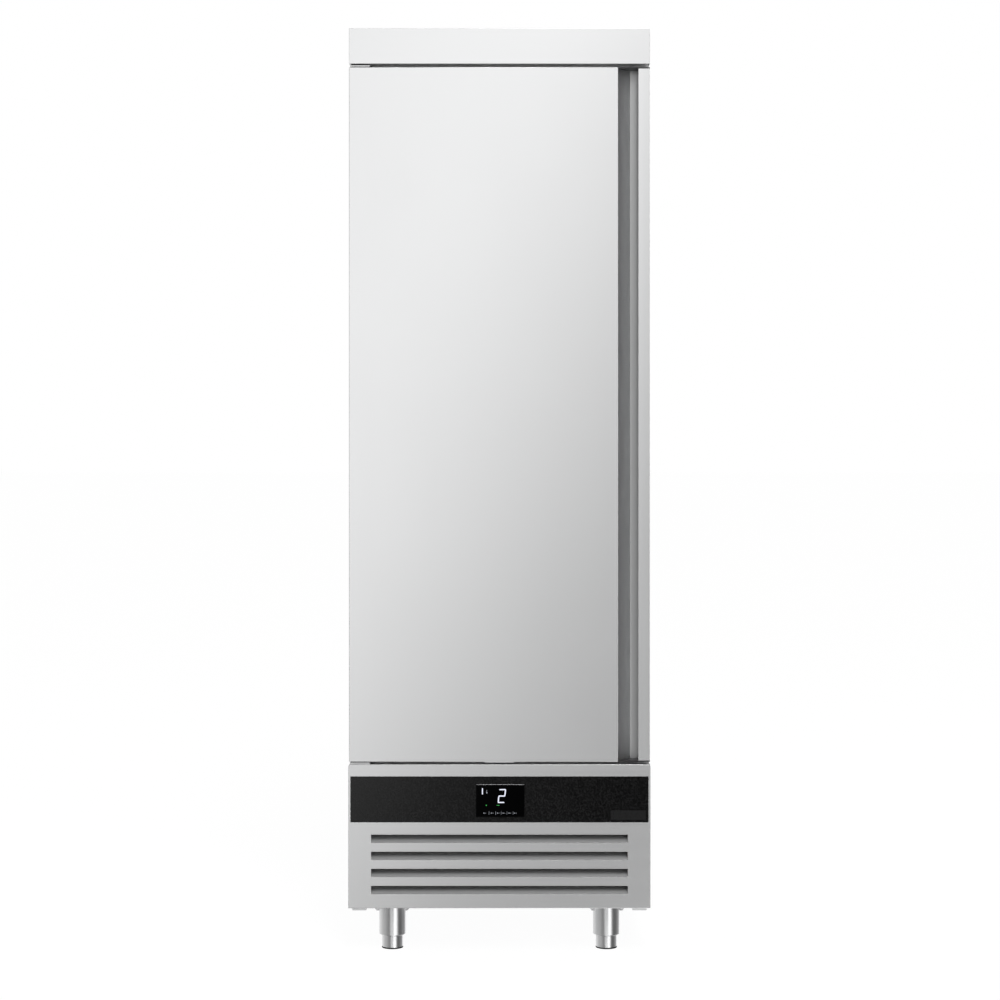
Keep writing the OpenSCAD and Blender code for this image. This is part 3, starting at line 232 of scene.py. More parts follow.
def grain_effect() -> bpy.types.NodeTree:
    """Builds the group for the fine grain of moulded plastic, film and rubber.

    Returns:
        The group.
    """
    effect = Effect("Fine grain", {"Vector": None, "Scale": 500.0}, ["Grain", "Height"])
    wire, given = effect.wire, effect.given
    noise = wire.add("TexNoise", {"Vector": given["Vector"], "Scale": given["Scale"], "Detail": 2.0,
                                  "Roughness": 0.7}).outputs[0]
    cells = wire.add("TexVoronoi", {"Vector": given["Vector"], "Scale": given["Scale"],
                                    "Randomness": 1.0}).outputs["Distance"]
    grain = wire.add("MapRange", {"Value": noise, "From Min": 0.34, "From Max": 0.66}).outputs[0]
    pits = wire.math("MULTIPLY", cells, 0.5)
    return effect.put_out(Grain=grain, Height=wire.math("SUBTRACT", noise, pits))


def spangle_effect() -> bpy.types.NodeTree:
    """Builds the group for the crystals of zinc on galvanised sheet.

    Returns:
        The group.
    """
    effect = Effect("Zinc crystals", {"Vector": None, "Scale": 70.0}, ["Crystal", "Height"])
    wire, given = effect.wire, effect.given
    noise = wire.add("TexNoise", {"Vector": given["Vector"], "Scale": 60.0, "Detail": 2.0}).outputs[1]
    reach = (0.012, 0.012, 0.012)  # how far the crystals' borders wander, in metres
    shift = wire.add("VectorMath", {0: noise, 1: reach}, operation="MULTIPLY").outputs[0]
    bent = wire.add("VectorMath", {0: shift, 1: given["Vector"]}, operation="ADD").outputs[0]
    cells = wire.add("TexVoronoi", {"Vector": bent, "Scale": given["Scale"], "Randomness": 1.0})
    tone = wire.add("SeparateColor", {0: cells.outputs["Color"]}).outputs[0]
    return effect.put_out(Crystal=tone, Height=wire.math("ADD", tone, cells.outputs["Distance"]))


def dust_effect() -> bpy.types.NodeTree:
    """Builds the group for dust, which lies on faces that look up.

    Returns:
        The group.
    """
    effect = Effect("Settled dust", {"Normal": None, "Vector": None, "Amount": 0.3}, ["Dust"])
    wire, given = effect.wire, effect.given
    up = wire.add("SeparateXYZ", {0: given["Normal"]}).outputs[2]
    up = wire.add("MapRange", {"Value": up, "From Min": 0.4, "From Max": 0.95}).outputs[0]
    fluff = wire.add("TexNoise", {"Vector": given["Vector"], "Scale": 35.0, "Detail": 4.0}).outputs[0]
    fluff = wire.add("MapRange", {"Value": fluff, "From Min": 0.3, "From Max": 0.75}).outputs[0]
    lying = wire.math("MULTIPLY", up, fluff)
    return effect.put_out(Dust=wire.math("MULTIPLY", lying, given["Amount"], clamp=True))


BRUSHED, CLOUD, GRAIN = brushed_effect(), cloud_effect(), grain_effect()
SPANGLE, DUST = spangle_effect(), dust_effect()
PATTERNS = {Pattern.BRUSHED: (BRUSHED, "Lines"), Pattern.SPANGLE: (SPANGLE, "Crystal"),
            Pattern.GRAINED: (GRAIN, "Grain"), Pattern.CAST: (GRAIN, "Grain")}
STREAK = 90  # how many times longer than wide a brushed line is
DUST_GREY = (0.42, 0.40, 0.37, 1)


@dataclass(frozen=True)
class Finish:
    """What one surface is made of and how it looks."""

    name: str
    colour: Colour
    pattern: Pattern
    roughness: float
    metallic: float = 0.0
    shade: float = 0.9  # the darkest tone of the pattern, as a share of the colour
    rough_span: float = 0.08  # how much the pattern changes the roughness
    scale: float = 500.0  # fineness of the pattern, per metre
    along: Vector | None = None  # direction of brushed lines
    depth: float = 0.02  # height of the relief
    clouds: float = 0.05  # how much slow clouds change the roughness
    cloud_scale: float = 3.0
    dust: float = 0.0
    coat: float = 0.0
    coat_roughness: float = 0.08
    specular: float = 0.5
    glow: float = 0.0
    bands: float = 0.35  # share of broader bands in brushed lines
    turned: float = 0.0  # how much a reflection is drawn out along z by lines round the shape

    def pattern_nodes(self, wire: Wiring, at: bpy.types.NodeSocket) -> tuple:
        """Adds the pattern's group.

        Args:
            wire: Tree of the material.
            at: Socket with the place on the piece.

        Returns:
            The sockets with the pattern's tone and its height.
        """
        tree, tone = PATTERNS[self.pattern]
        inputs = {"Vector": at, "Scale": self.scale}
        if self.pattern is Pattern.BRUSHED:
            stretch = [self.scale / STREAK if abs(part) > 0.5 else self.scale for part in self.along]
            drawn = wire.add("Mapping", {"Vector": at, "Scale": stretch}).outputs[0]
            inputs = {"Vector": drawn, "Bands": self.bands}
        group = wire.add("Group", inputs, node_tree=tree)
        return group.outputs[tone], group.outputs["Height"]

    def material(self) -> bpy.types.Material:
        """Builds the finish's material, or finds it if it is there.

        Returns:
            The material.
        """
        label = self.name + "_finish"  # the frame has materials of its own under plain names
        known = bpy.data.materials.get(label)
        if known:
            return known
        made = bpy.data.materials.new(label)
        made.use_nodes = True
        wire = Wiring(made.node_tree)
        at = wire.add("TexCoord").outputs["Object"]
        tone, height = self.pattern_nodes(wire, at)
        cloud = wire.add("Group", {"Vector": at, "Scale": self.cloud_scale}, node_tree=CLOUD).outputs[0]
        dark = tuple(part * self.shade for part in self.colour)
        colour = wire.mix(tone, (*dark, 1), (*self.colour, 1))
        rough = wire.math("MULTIPLY_ADD", tone, self.rough_span, self.roughness - self.rough_span / 2)
        rough = wire.math("MULTIPLY_ADD", cloud, self.clouds, rough)
        if self.dust:
            normal = wire.add("NewGeometry").outputs["Normal"]
            inputs = {"Normal": normal, "Vector": at, "Amount": self.dust}
            dust = wire.add("Group", inputs, node_tree=DUST).outputs[0]
            colour = wire.mix(dust, colour, DUST_GREY)
            rough = wire.math("MAXIMUM", rough, dust)
        bump = wire.add("Bump", {"Height": height, "Strength": 1.0, "Distance": self.depth * MM})
        shader = wire.add("BsdfPrincipled", {
            "Base Color": colour, "Roughness": rough, "Metallic": self.metallic,
            "Coat Weight": self.coat, "Coat Roughness": self.coat_roughness,
            "Specular IOR Level": self.specular, "Normal": bump.outputs[0]})
        if self.turned:
            shader.inputs["Anisotropic"].default_value = self.turned
            upright = wire.add("CombineXYZ", {"Z": 1.0}).outputs[0]
            wire.tree.links.new(upright, shader.inputs["Tangent"])
        if self.glow:
            wire.tree.links.new(colour, shader.inputs["Emission Color"])
            shader.inputs["Emission Strength"].default_value = self.glow
        wire.add("OutputMaterial", {"Surface": shader.outputs[0]})
        return made


def steel(name: str, along: Vector, tone: float = 0.78, roughness: float = 0.25,
          **more: object) -> Finish:
    """Makes a finish of brushed stainless steel.

    Args:
        name: Name of the finish.
        along: Direction of its lines.
        tone: How light it is.
        roughness: How matt it is.
        more: Other values of the finish.

    Returns:
        The finish.
    """
    values = {"shade": 0.988, "rough_span": 0.015, "scale": 1400.0, "depth": 0.0006, "clouds": 0.01}
    colour = (tone, tone * 1.004, tone * 1.008)  # a trace of blue
    return Finish(name, colour, Pattern.BRUSHED, roughness, 1.0, along=along, **{**values, **more})


def moulding(name: str, colour: Colour, roughness: float = 0.5, **more: object) -> Finish:
    """Makes a finish of moulded plastic.

    Args:
        name: Name of the finish.
        colour: Its colour.
        roughness: How matt it is.
        more: Other values of the finish.

    Returns:
        The finish.
    """
    values = {"scale": 900.0, "depth": 0.012, "shade": 0.93}
    return Finish(name, colour, Pattern.GRAINED, roughness, **{**values, **more})


DOOR_STEEL = steel("door_steel", Z)
BAND_STEEL = steel("band_steel", X)
SIDE_STEEL = steel("side_steel", Z, 0.76, 0.28)
BASE_STEEL = steel("base_steel", X, 0.745)
GRIP_STEEL = steel("grip_steel", Z, 0.80, 0.40)
# The floor of the grip's channel: the grip's steel at a darker tone, painted shade where the channel is
# deepest.
GROOVE_PAINTED_SHADE = steel("groove_steel_painted_shade", Z, 0.50, 0.42)
BLADE_STEEL = steel("blade_steel", X, 0.70, 0.58)
LINER_STEEL = steel("liner_steel", Z, 0.72, 0.42)
FRAME_STEEL = steel("frame_steel", Z, 0.72, 0.38)
HINGE_STEEL = steel("hinge_steel", X, 0.68, 0.34)
LEG_STEEL = steel("leg_steel", X, 0.80, 0.35, scale=1800.0, shade=0.95, turned=0.9)
RACK_STEEL = steel("rack_steel", Z, 0.72, 0.32)
SHELF_CHROME = Finish("shelf_chrome", (0.76, 0.77, 0.78), Pattern.CAST, 0.12, 1.0, shade=0.97,
                      rough_span=0.04, scale=60.0, depth=0.003, clouds=0.06, cloud_scale=8.0)
SCREW_STEEL = Finish("screw_steel", (0.70, 0.70, 0.71), Pattern.CAST, 0.24, 1.0, scale=900.0,
                     depth=0.004)
ZINC_SHEET = Finish("zinc_sheet", (0.60, 0.62, 0.64), Pattern.SPANGLE, 0.42, 0.92, shade=0.87,
                    rough_span=0.08, scale=120.0, depth=0.004, dust=0.25)
FOAM = Finish("insulating_foam", (0.82, 0.72, 0.45), Pattern.CAST, 0.85, shade=0.75, scale=220.0,
              depth=0.30)
STRIP_FILM = Finish("strip_film", (0.011, 0.011, 0.0113), Pattern.GRAINED, 0.12, shade=0.01,
                    rough_span=0.08, scale=320.0, depth=0.008, specular=0.30)
PANEL_GLASS = Finish("display_glass_black", (0.0008, 0.0008, 0.001), Pattern.CAST, 0.07, shade=0.9,
                     rough_span=0.02, scale=20.0, depth=0.0003, clouds=0.02, specular=0.07)
# Grey metal on the top edge of the black display glass only: a painted highlight along that edge.
GLASS_TOP_HIGHLIGHT = Finish("glass_edge_painted_highlight", (0.45, 0.45, 0.46), Pattern.CAST, 0.30, 0.9, scale=300.0,
                    depth=0.001)
BARE_PLATE = Finish("badge_plate_satin", (0.012, 0.012, 0.0125), Pattern.GRAINED, 0.26, shade=0.85,
                    scale=1500.0, depth=0.006, specular=0.22)
BOARD = moulding("display_housing", (0.05, 0.055, 0.06))
BLACK_PLASTIC = moulding("black_plastic", (0.020, 0.020, 0.022), 0.42)
SEAL_GREY = moulding("seal_grey", (0.20, 0.205, 0.215), 0.62, scale=600.0)
LINER_PLASTIC = moulding("door_liner_plastic", (0.80, 0.80, 0.79), 0.42, depth=0.03, scale=420.0)
COVER_PLASTIC = moulding("cover_plastic", (0.80, 0.80, 0.78), 0.40)
FAN_PLASTIC = moulding("fan_plastic", (0.035, 0.035, 0.038), 0.45, dust=0.15)
DRAIN_PLASTIC = moulding("drain_plastic", (0.55, 0.56, 0.54), 0.48)
TRAY_PLASTIC = moulding("tray_plastic", (0.70, 0.70, 0.67), 0.45, dust=0.25)
BOX_PLASTIC = moulding("box_plastic", (0.62, 0.62, 0.60), 0.48, dust=0.2)
PAD_RUBBER = moulding("pad_rubber", (0.014, 0.014, 0.015), 0.72, scale=700.0, depth=0.03)
GROMMET_RUBBER = moulding("grommet_rubber", (0.018, 0.018, 0.018), 0.7, dust=0.2)
FIN_METAL = Finish("fin_aluminium", (0.78, 0.79, 0.80), Pattern.BRUSHED, 0.32, 0.95, shade=0.9,
                   scale=900.0, along=Z, depth=0.004)
MOTOR_PAINT = Finish("motor_paint", (0.34, 0.35, 0.37), Pattern.CAST, 0.44, 0.35, shade=0.88,
                     scale=400.0, depth=0.02, dust=0.3)
SHELL_PAINT = Finish("compressor_paint", (0.012, 0.012, 0.013), Pattern.CAST, 0.30, shade=0.8,
                     scale=160.0, depth=0.02, dust=0.22, coat=0.3)
COPPER = Finish("copper_tube", (0.72, 0.36, 0.22), Pattern.CAST, 0.28, 1.0, shade=0.80, scale=60.0,
                depth=0.01, clouds=0.18, cloud_scale=14.0)
PROBE_STEEL = steel("probe_steel", Y, 0.72, 0.25)
LIT_WHITE = Finish("lit_white", (0.66, 0.68, 0.78), Pattern.CAST, 0.4, shade=0.92, scale=800.0,
                   depth=0.001, glow=0.85)
LIT_FAINT = Finish("lit_faint", (0.34, 0.36, 0.40), Pattern.CAST, 0.4, shade=0.8, scale=800.0,
                   depth=0.001, glow=0.4)
LIT_GREEN = Finish("lit_green", (0.04, 0.46, 0.08), Pattern.CAST, 0.4, shade=0.85, scale=800.0,
                   depth=0.001, glow=0.5)


# Shapes


def welded(node: str) -> bmesh.types.BMesh:
    """Copies a CAD node's mesh, joins its loose triangles and melts its flat faces together.

    Args:
        node: Name of the node.

    Returns:
        The mesh.
    """
    bm = bmesh.new()
    bm.from_mesh(frame["nodes"][node].data)
    bmesh.ops.remove_doubles(bm, verts=bm.verts, dist=WELD)
    bmesh.ops.dissolve_limit(bm, angle_limit=FLAT, use_dissolve_boundaries=False, verts=bm.verts,
                             edges=bm.edges, delimit=set())
    return bm


def sharp_edges(bm: bmesh.types.BMesh, where: Pick | None = None, longer: float = 6.0) -> list:
    """Finds the edges of a closed mesh that a maker would break.

    Args:
        bm: The mesh.
        where: Test of an edge's middle, in millimetres, or None for all.
        longer: Shortest edge that counts, in millimetres.

    Returns:
        The edges.
    """
    found = []
    for edge in bm.edges:
        if not edge.is_manifold or edge.calc_length() < longer * MM or edge.calc_face_angle(0) < FOLD:
            continue
        if where is None or where((edge.verts[0].co + edge.verts[1].co) / 2 / MM):
            found.append(edge)
    return found


def soften(bm: bmesh.types.BMesh, edges: list, radius: float, segments: int = 2) -> None:
    """Rounds edges of a mesh.

    Args:
        bm: The mesh.
        edges: Its edges that are rounded.
        radius: Their radius in millimetres.
        segments: Number of faces across an edge.
    """
    if edges:
        bmesh.ops.bevel(bm, geom=edges, offset=radius * MM, offset_type="OFFSET", segments=segments,
                        profile=0.5, affect="EDGES", clamp_overlap=False, material=-1)


def outer(low: Vector, high: Vector) -> Pick:
    """Makes a test that holds where a point lies on two planes of a box.

    Args:
        low: Lowest corner of the box in millimetres.
        high: Highest corner of the box in millimetres.

    Returns:
        The test.
    """
    def test(point: Vector) -> bool:
        """Counts the planes of the box that the point lies on."""
        planes = sum(min(abs(point[i] - low[i]), abs(point[i] - high[i])) < ON for i in range(3))
        return planes > 1
    return test


def add_box(bm: bmesh.types.BMesh, low: Sequence[float], high: Sequence[float]) -> list:
    """Adds a box.

    Args:
        bm: The mesh that it is added to.
        low: Its lowest corner in millimetres.
        high: Its highest corner in millimetres.

    Returns:
        Its vertices.
    """
    made = bmesh.ops.create_cube(bm, size=1.0)["verts"]
    low, high = mm(*low), mm(*high)
    bmesh.ops.scale(bm, vec=high - low, verts=made)
    bmesh.ops.translate(bm, vec=(low + high) / 2, verts=made)
    return made


def add_rounded_box(bm: bmesh.types.BMesh, low: Sequence[float], high: Sequence[float], radius: float,
                    segments: int = 2, along: Vector | None = None) -> None:
    """Adds a box with rounded edges.

    Args:
        bm: The mesh that it is added to.
        low: Its lowest corner in millimetres.
        high: Its highest corner in millimetres.
        radius: Radius of its edges in millimetres.
        segments: Number of faces across an edge.
        along: Direction of the only edges that are rounded, or None for all.
    """
    made = add_box(bm, low, high)
    edges = {edge for vert in made for edge in vert.link_edges}
    if along:
        edges = {e for e in edges if abs((e.verts[0].co - e.verts[1].co).dot(along)) > WELD}
    soften(bm, list(edges), radius, segments)


def add_prism(bm: bmesh.types.BMesh, outline: Iterable[Vector], move: Vector) -> list:
    """Adds a flat outline that is drawn out along a direction.

    Args:
        bm: The mesh that it is added to.
        outline: Corners of the outline in order, in metres.
        move: How far and which way it is drawn out, in metres.

    Returns:
        Its vertices.
    """
    corners = [bm.verts.new(point) for point in outline]
    face = bm.faces.new(corners)
    drawn = bmesh.ops.extrude_face_region(bm, geom=[face])["geom"]
    far = [part for part in drawn if isinstance(part, bmesh.types.BMVert)]
    bmesh.ops.translate(bm, vec=move, verts=far)
    bmesh.ops.recalc_face_normals(bm, faces=list({f for v in corners + far for f in v.link_faces}))
    return corners + far


def add_turned(bm: bmesh.types.BMesh, outline: Sequence[tuple[float, float]], centre: Vector,
               axis: Vector = Z, steps: int = 64) -> list:
    """Adds a shape turned on a lathe.

    Args:
        bm: The mesh that it is added to.
        outline: Points of (radius, height) in millimetres. It is closed if its ends meet.
        centre: Foot of the axis, in metres.
        axis: Direction of the axis.
        steps: Number of faces round the shape.

    Returns:
        Its vertices.
    """
    turn = Matrix.Translation(centre) @ axis.to_track_quat("Z", "X").to_matrix().to_4x4()
    closed = outline[0] == outline[-1]
    points = outline[:-1] if closed else outline
    chain = [bm.verts.new(turn @ mm(radius, 0, height)) for radius, height in points]
    pairs = list(zip(chain, chain[1:])) + ([(chain[-1], chain[0])] if closed else [])
    edges = [bm.edges.new(pair) for pair in pairs]
    old = set(bm.verts) - set(chain)
    bmesh.ops.spin(bm, geom=chain + edges, cent=centre, axis=axis, dvec=(0, 0, 0),
                   angle=math.tau, steps=steps, use_merge=True, use_duplicate=False)
    made = [v for v in bm.verts if v not in old]
    bmesh.ops.remove_doubles(bm, verts=made, dist=WELD)
    made = [v for v in bm.verts if v not in old]
    bmesh.ops.recalc_face_normals(bm, faces=list({f for v in made for f in v.link_faces}))
    return made


def add_tube(bm: bmesh.types.BMesh, route: Sequence[Vector], radius: float, bend: float = 12.0,
             sides: int = 16, steps: int = 6) -> None:
    """Adds a round tube with closed ends and bent corners.

    Args:
        bm: The mesh that it is added to.
        route: Corners of its middle line, in metres.
        radius: Radius of the tube in millimetres.
        bend: Radius of its bends in millimetres.
        sides: Number of faces round it.
        steps: Number of rings in each bend.
    """
    bend *= MM
    heading = (route[1] - route[0]).normalized()
    stand = Matrix.Translation(route[0]) @ heading.to_track_quat("Z", "X").to_matrix().to_4x4()
    ring = bmesh.ops.create_circle(bm, cap_ends=True, radius=radius * MM, segments=sides,
                                   matrix=stand)["verts"]
    face = next(f for f in ring[0].link_faces if len(f.verts) == sides)
    made = set(ring)

    def draw() -> list:
        """Draws the end face out.

        Returns:
            Its new vertices.
        """
        nonlocal face
        inside = face if len(made) > sides else None
        drawn = bmesh.ops.extrude_face_region(bm, geom=[face])["geom"]
        face = next(part for part in drawn if isinstance(part, bmesh.types.BMFace)
                    and len(part.verts) == sides)
        if inside and inside.is_valid:
            bmesh.ops.delete(bm, geom=[inside], context="FACES_ONLY")
        made.update(face.verts)
        return list(face.verts)

    start = route[0]
    for i, corner in enumerate(route[1:], 1):
        along = (corner - start).normalized()
        if i == len(route) - 1:
            bmesh.ops.translate(bm, vec=corner - start, verts=draw())
            break
        ahead = (route[i + 1] - corner).normalized()
        angle = along.angle(ahead)
        cut = bend * math.tan(angle / 2)
        bmesh.ops.translate(bm, vec=corner - along * cut - start, verts=draw())
        axis = along.cross(ahead).normalized()
        centre = corner - along * cut + axis.cross(along) * bend
        for _ in range(steps):
            bmesh.ops.rotate(bm, cent=centre, matrix=Matrix.Rotation(angle / steps, 3, axis),
                             verts=draw())
        start = corner + ahead * cut
    bmesh.ops.recalc_face_normals(bm, faces=list({f for v in made for f in v.link_faces}))


def place(name: str, bm: bmesh.types.BMesh, finish: Finish, *nodes: str, body: str = "",
          slot: str = "") -> bpy.types.Object:
    """Makes a piece of the object from a finished mesh.

    Args:
        name: Name of the piece.
        bm: Its mesh, which is used up.
        finish: Its finish.
        nodes: CAD nodes that it stands for. It takes its body from the first.
        body: Body that it rides on, where it stands for no node.
        slot: Material slot, where it stands for no node. It is not used.

    Returns:
        The piece.
    """
    mesh = bpy.data.meshes.new(name)
    bm.to_mesh(mesh)
    bm.free()
    mesh.materials.append(finish.material())
    mesh.polygons.foreach_set("use_smooth", [True] * len(mesh.polygons))
    mesh.set_sharp_from_angle(angle=CREASE)
    piece = bpy.data.objects.new(name, mesh)
    bpy.context.scene.collection.objects.link(piece)
    even = piece.modifiers.new("even_shading", "WEIGHTED_NORMAL")
    even.keep_sharp = True
    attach(piece, body or body_of(frame["nodes"][nodes[0]])[0])
    if nodes:
        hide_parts(*nodes)
    log.info("%s: %d faces", name, len(mesh.polygons))
    return piece


def sink_face(bm: bmesh.types.BMesh, depth: float) -> None:
    """Sets the front of a mesh back by a depth in millimetres."""
    front = [vert for vert in bm.verts if vert.co.y < (FACE_Y + NEAR) * MM]
    bmesh.ops.translate(bm, vec=(0, depth * MM, 0), verts=front)


def face_with(piece: bpy.types.Object, finish: Finish, where: Pick) -> None:
    """Gives some faces of a piece another finish.

    Args:
        piece: The piece.
        finish: The finish.
        where: Test of a face's middle, in millimetres.
    """
    piece.data.materials.append(finish.material())
    for face in piece.data.polygons:
        if where(face.center / MM):
            face.material_index = len(piece.data.materials) - 1


def dress(finish: Finish, *nodes: str) -> None:
    """Gives CAD nodes that keep their shape the material of a finish.

    Args:
        finish: The finish.
        nodes: Names of the nodes.
    """
    for node in nodes:
        mesh = frame["nodes"][node].data
        mesh.materials.clear()
        mesh.materials.append(finish.material())
        log.info("%s: dressed as %s", node, finish.name)


def formed(name: str, node: str, finish: Finish, fold: float = 0.0, edge: float = 0.3,
           body_box: tuple[Vector, Vector] | None = None, segments: int = 3) -> bpy.types.Object:
    """Makes a piece that is a CAD node with its folds rounded and its edges broken.

    Args:
        name: Name of the piece.
        node: The node that it stands for.
        finish: Its finish.
        fold: Radius of the edges on the outside of the box, in millimetres.
        edge: Radius of the other edges, in millimetres.
        body_box: Corners of the box in millimetres, or None for the node's own.
        segments: Number of faces across a fold.

    Returns:
        The piece.
    """
    bm = welded(node)
    low, high = body_box or [Vector(corner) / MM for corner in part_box(node)]
    if fold:
        soften(bm, sharp_edges(bm, outer(low, high)), fold, segments)
    soften(bm, sharp_edges(bm), edge)
    return place(name, bm, finish, node)


# Sub-assemblies


@dataclass
class Shell:
    """The insulated body: its panels, front frame, cap band and hinge brackets."""

    fold: float = 1.2
    cap_fold: float = 0.7
    bracket_fold: float = 1.0
    edge: float = 0.25
    thick_edge: float = 0.4  # edge of the sheets that are thicker than the panels
    rear_edge: float = 0.3

    def build(self) -> None:
        """Builds the body's pieces."""
        for side in ("left", "right"):
            formed(f"side_skin_{side}", f"side_panel_{side}", SIDE_STEEL, self.fold, self.edge)
        formed("cap_band", "top_cap", BAND_STEEL, self.cap_fold, self.edge, segments=4)
        formed("opening_frame", "front_frame", FRAME_STEEL, 0, self.thick_edge)
        formed("roof_sheet", "top_panel", SIDE_STEEL, 0, self.edge)
        formed("rear_sheet", "back_panel", ZINC_SHEET, 0, self.rear_edge)
        for end in ("top", "bottom"):
            formed(f"hinge_plate_{end}", f"hinge_bracket_{end}", HINGE_STEEL, self.bracket_fold,
                   self.thick_edge)
        dress(ZINC_SHEET, "floor_panel")
        dress(FOAM, "foam_core")
        dress(HINGE_STEEL, "hinge_pins")


@dataclass
class Door:
    """The door: folded skin, bent grip, end caps, seal and liner."""

    half: float = 340.0
    z: tuple[float, float] = (436.0, 2005.0)
    back_y: float = -345.0
    fold: float = 1.2
    edge: float = 0.25
    groove_y: float = -365.0
    grip_sheet: float = 1.5
    grip_edge: float = 0.4
    lip_reach: float = 40.0  # the lip lies nearer than this to the door's right edge
    plateau_margin: float = 40.0  # the liner's raised middle lies further in than this
    plateau_fold: float = 1.3
    frame_y: float = -333.3
    seal_inset: float = 24.0
    seal_w: float = 20.0

    def build(self) -> None:
        """Builds the door's pieces."""
        box = Vector((-self.half, FACE_Y, self.z[0])), Vector((self.half, self.back_y, self.z[1]))
        formed("door_face", "door_skin", DOOR_STEEL, self.fold, self.edge, box, 4)
        self.grip()
        formed("grip_end_caps", "handle_end_caps", BLACK_PLASTIC, 0, self.grip_edge)
        self.liner()
        self.seal()
        dress(FOAM, "door_foam")
        dress(BLACK_PLASTIC, "hinge_bushes")

    def grip(self) -> None:
        """Builds the grip, whose long folds are rounded, with the door's finish on its lip and a darker
        finish on its floor, as painted shade in the deep channel.
        """
        bm = welded("handle_profile")
        middle = sum(self.z) / 2
        soften(bm, sharp_edges(bm, lambda p: abs(p.z - middle) < NEAR), self.grip_edge)
        piece = place("grip_profile", bm, GRIP_STEEL, "handle_profile")
        face_with(piece, DOOR_STEEL, lambda p: p.y < FACE_Y + self.grip_sheet
                  and p.x > self.half - self.lip_reach)
        # The deepest plane of the channel gets the darker steel, as painted shade.
        face_with(piece, GROOVE_PAINTED_SHADE, lambda p: abs(p.y - self.groove_y) < NEAR)

    def liner(self) -> None:
        """Builds the liner, with the rounded foot and edge of its raised middle."""
        bm = welded("door_liner")
        (low, high), margin = self.z, self.plateau_margin
        raised = sharp_edges(bm, lambda p: p.y > self.back_y - NEAR and abs(p.x) < self.half - margin
                             and low + margin < p.z < high - margin)
        soften(bm, raised, self.plateau_fold, 4)
        soften(bm, sharp_edges(bm), self.grip_edge)
        place("door_inner_panel", bm, LINER_PLASTIC, "door_liner")

    def seal(self) -> None:
        """Builds the seal: a dart, a bellows and a magnet pocket, mitred at the corners."""
        front, back, w = self.back_y, self.frame_y, self.seal_w
        outward = [(w - 2, front), (w - 1, front + 1.6), (w - 4, front + 3), (w - 6.5, front + 4.2),
                   (w - 3.6, front + 5.6), (w - 6.5, front + 6.8), (w - 2.4, back - 3.6),
                   (w - 1.4, back - 3), (w - 1.4, back - 0.6), (w - 2, back)]
        inward = [(2, back), (1.4, back - 0.6), (1.4, back - 3), (2.4, back - 3.6),
                  (5.5, front + 6.8), (2.8, front + 5.6), (5.5, front + 4.2), (3, front + 3),
                  (1, front + 1.6)]
        outline = [(2, front), *outward, *inward]
        bm = bmesh.new()
        loops = []
        for side, end in ((-1, 0), (1, 0), (1, 1), (-1, 1)):
            rise = 1 if end == 0 else -1
            ring = [bm.verts.new(mm(side * (self.half - self.seal_inset - u), y,
                                    self.z[end] + rise * (self.seal_inset + u))) for u, y in outline]
            loops.append([bm.edges.new((ring[i], ring[(i + 1) % len(ring)])) for i in range(len(ring))])
        for i, loop in enumerate(loops):
            bmesh.ops.bridge_loops(bm, edges=loop + loops[(i + 1) % 4])
        bmesh.ops.recalc_face_normals(bm, faces=bm.faces)
        place("door_seal", bm, SEAL_GREY, "door_gasket")


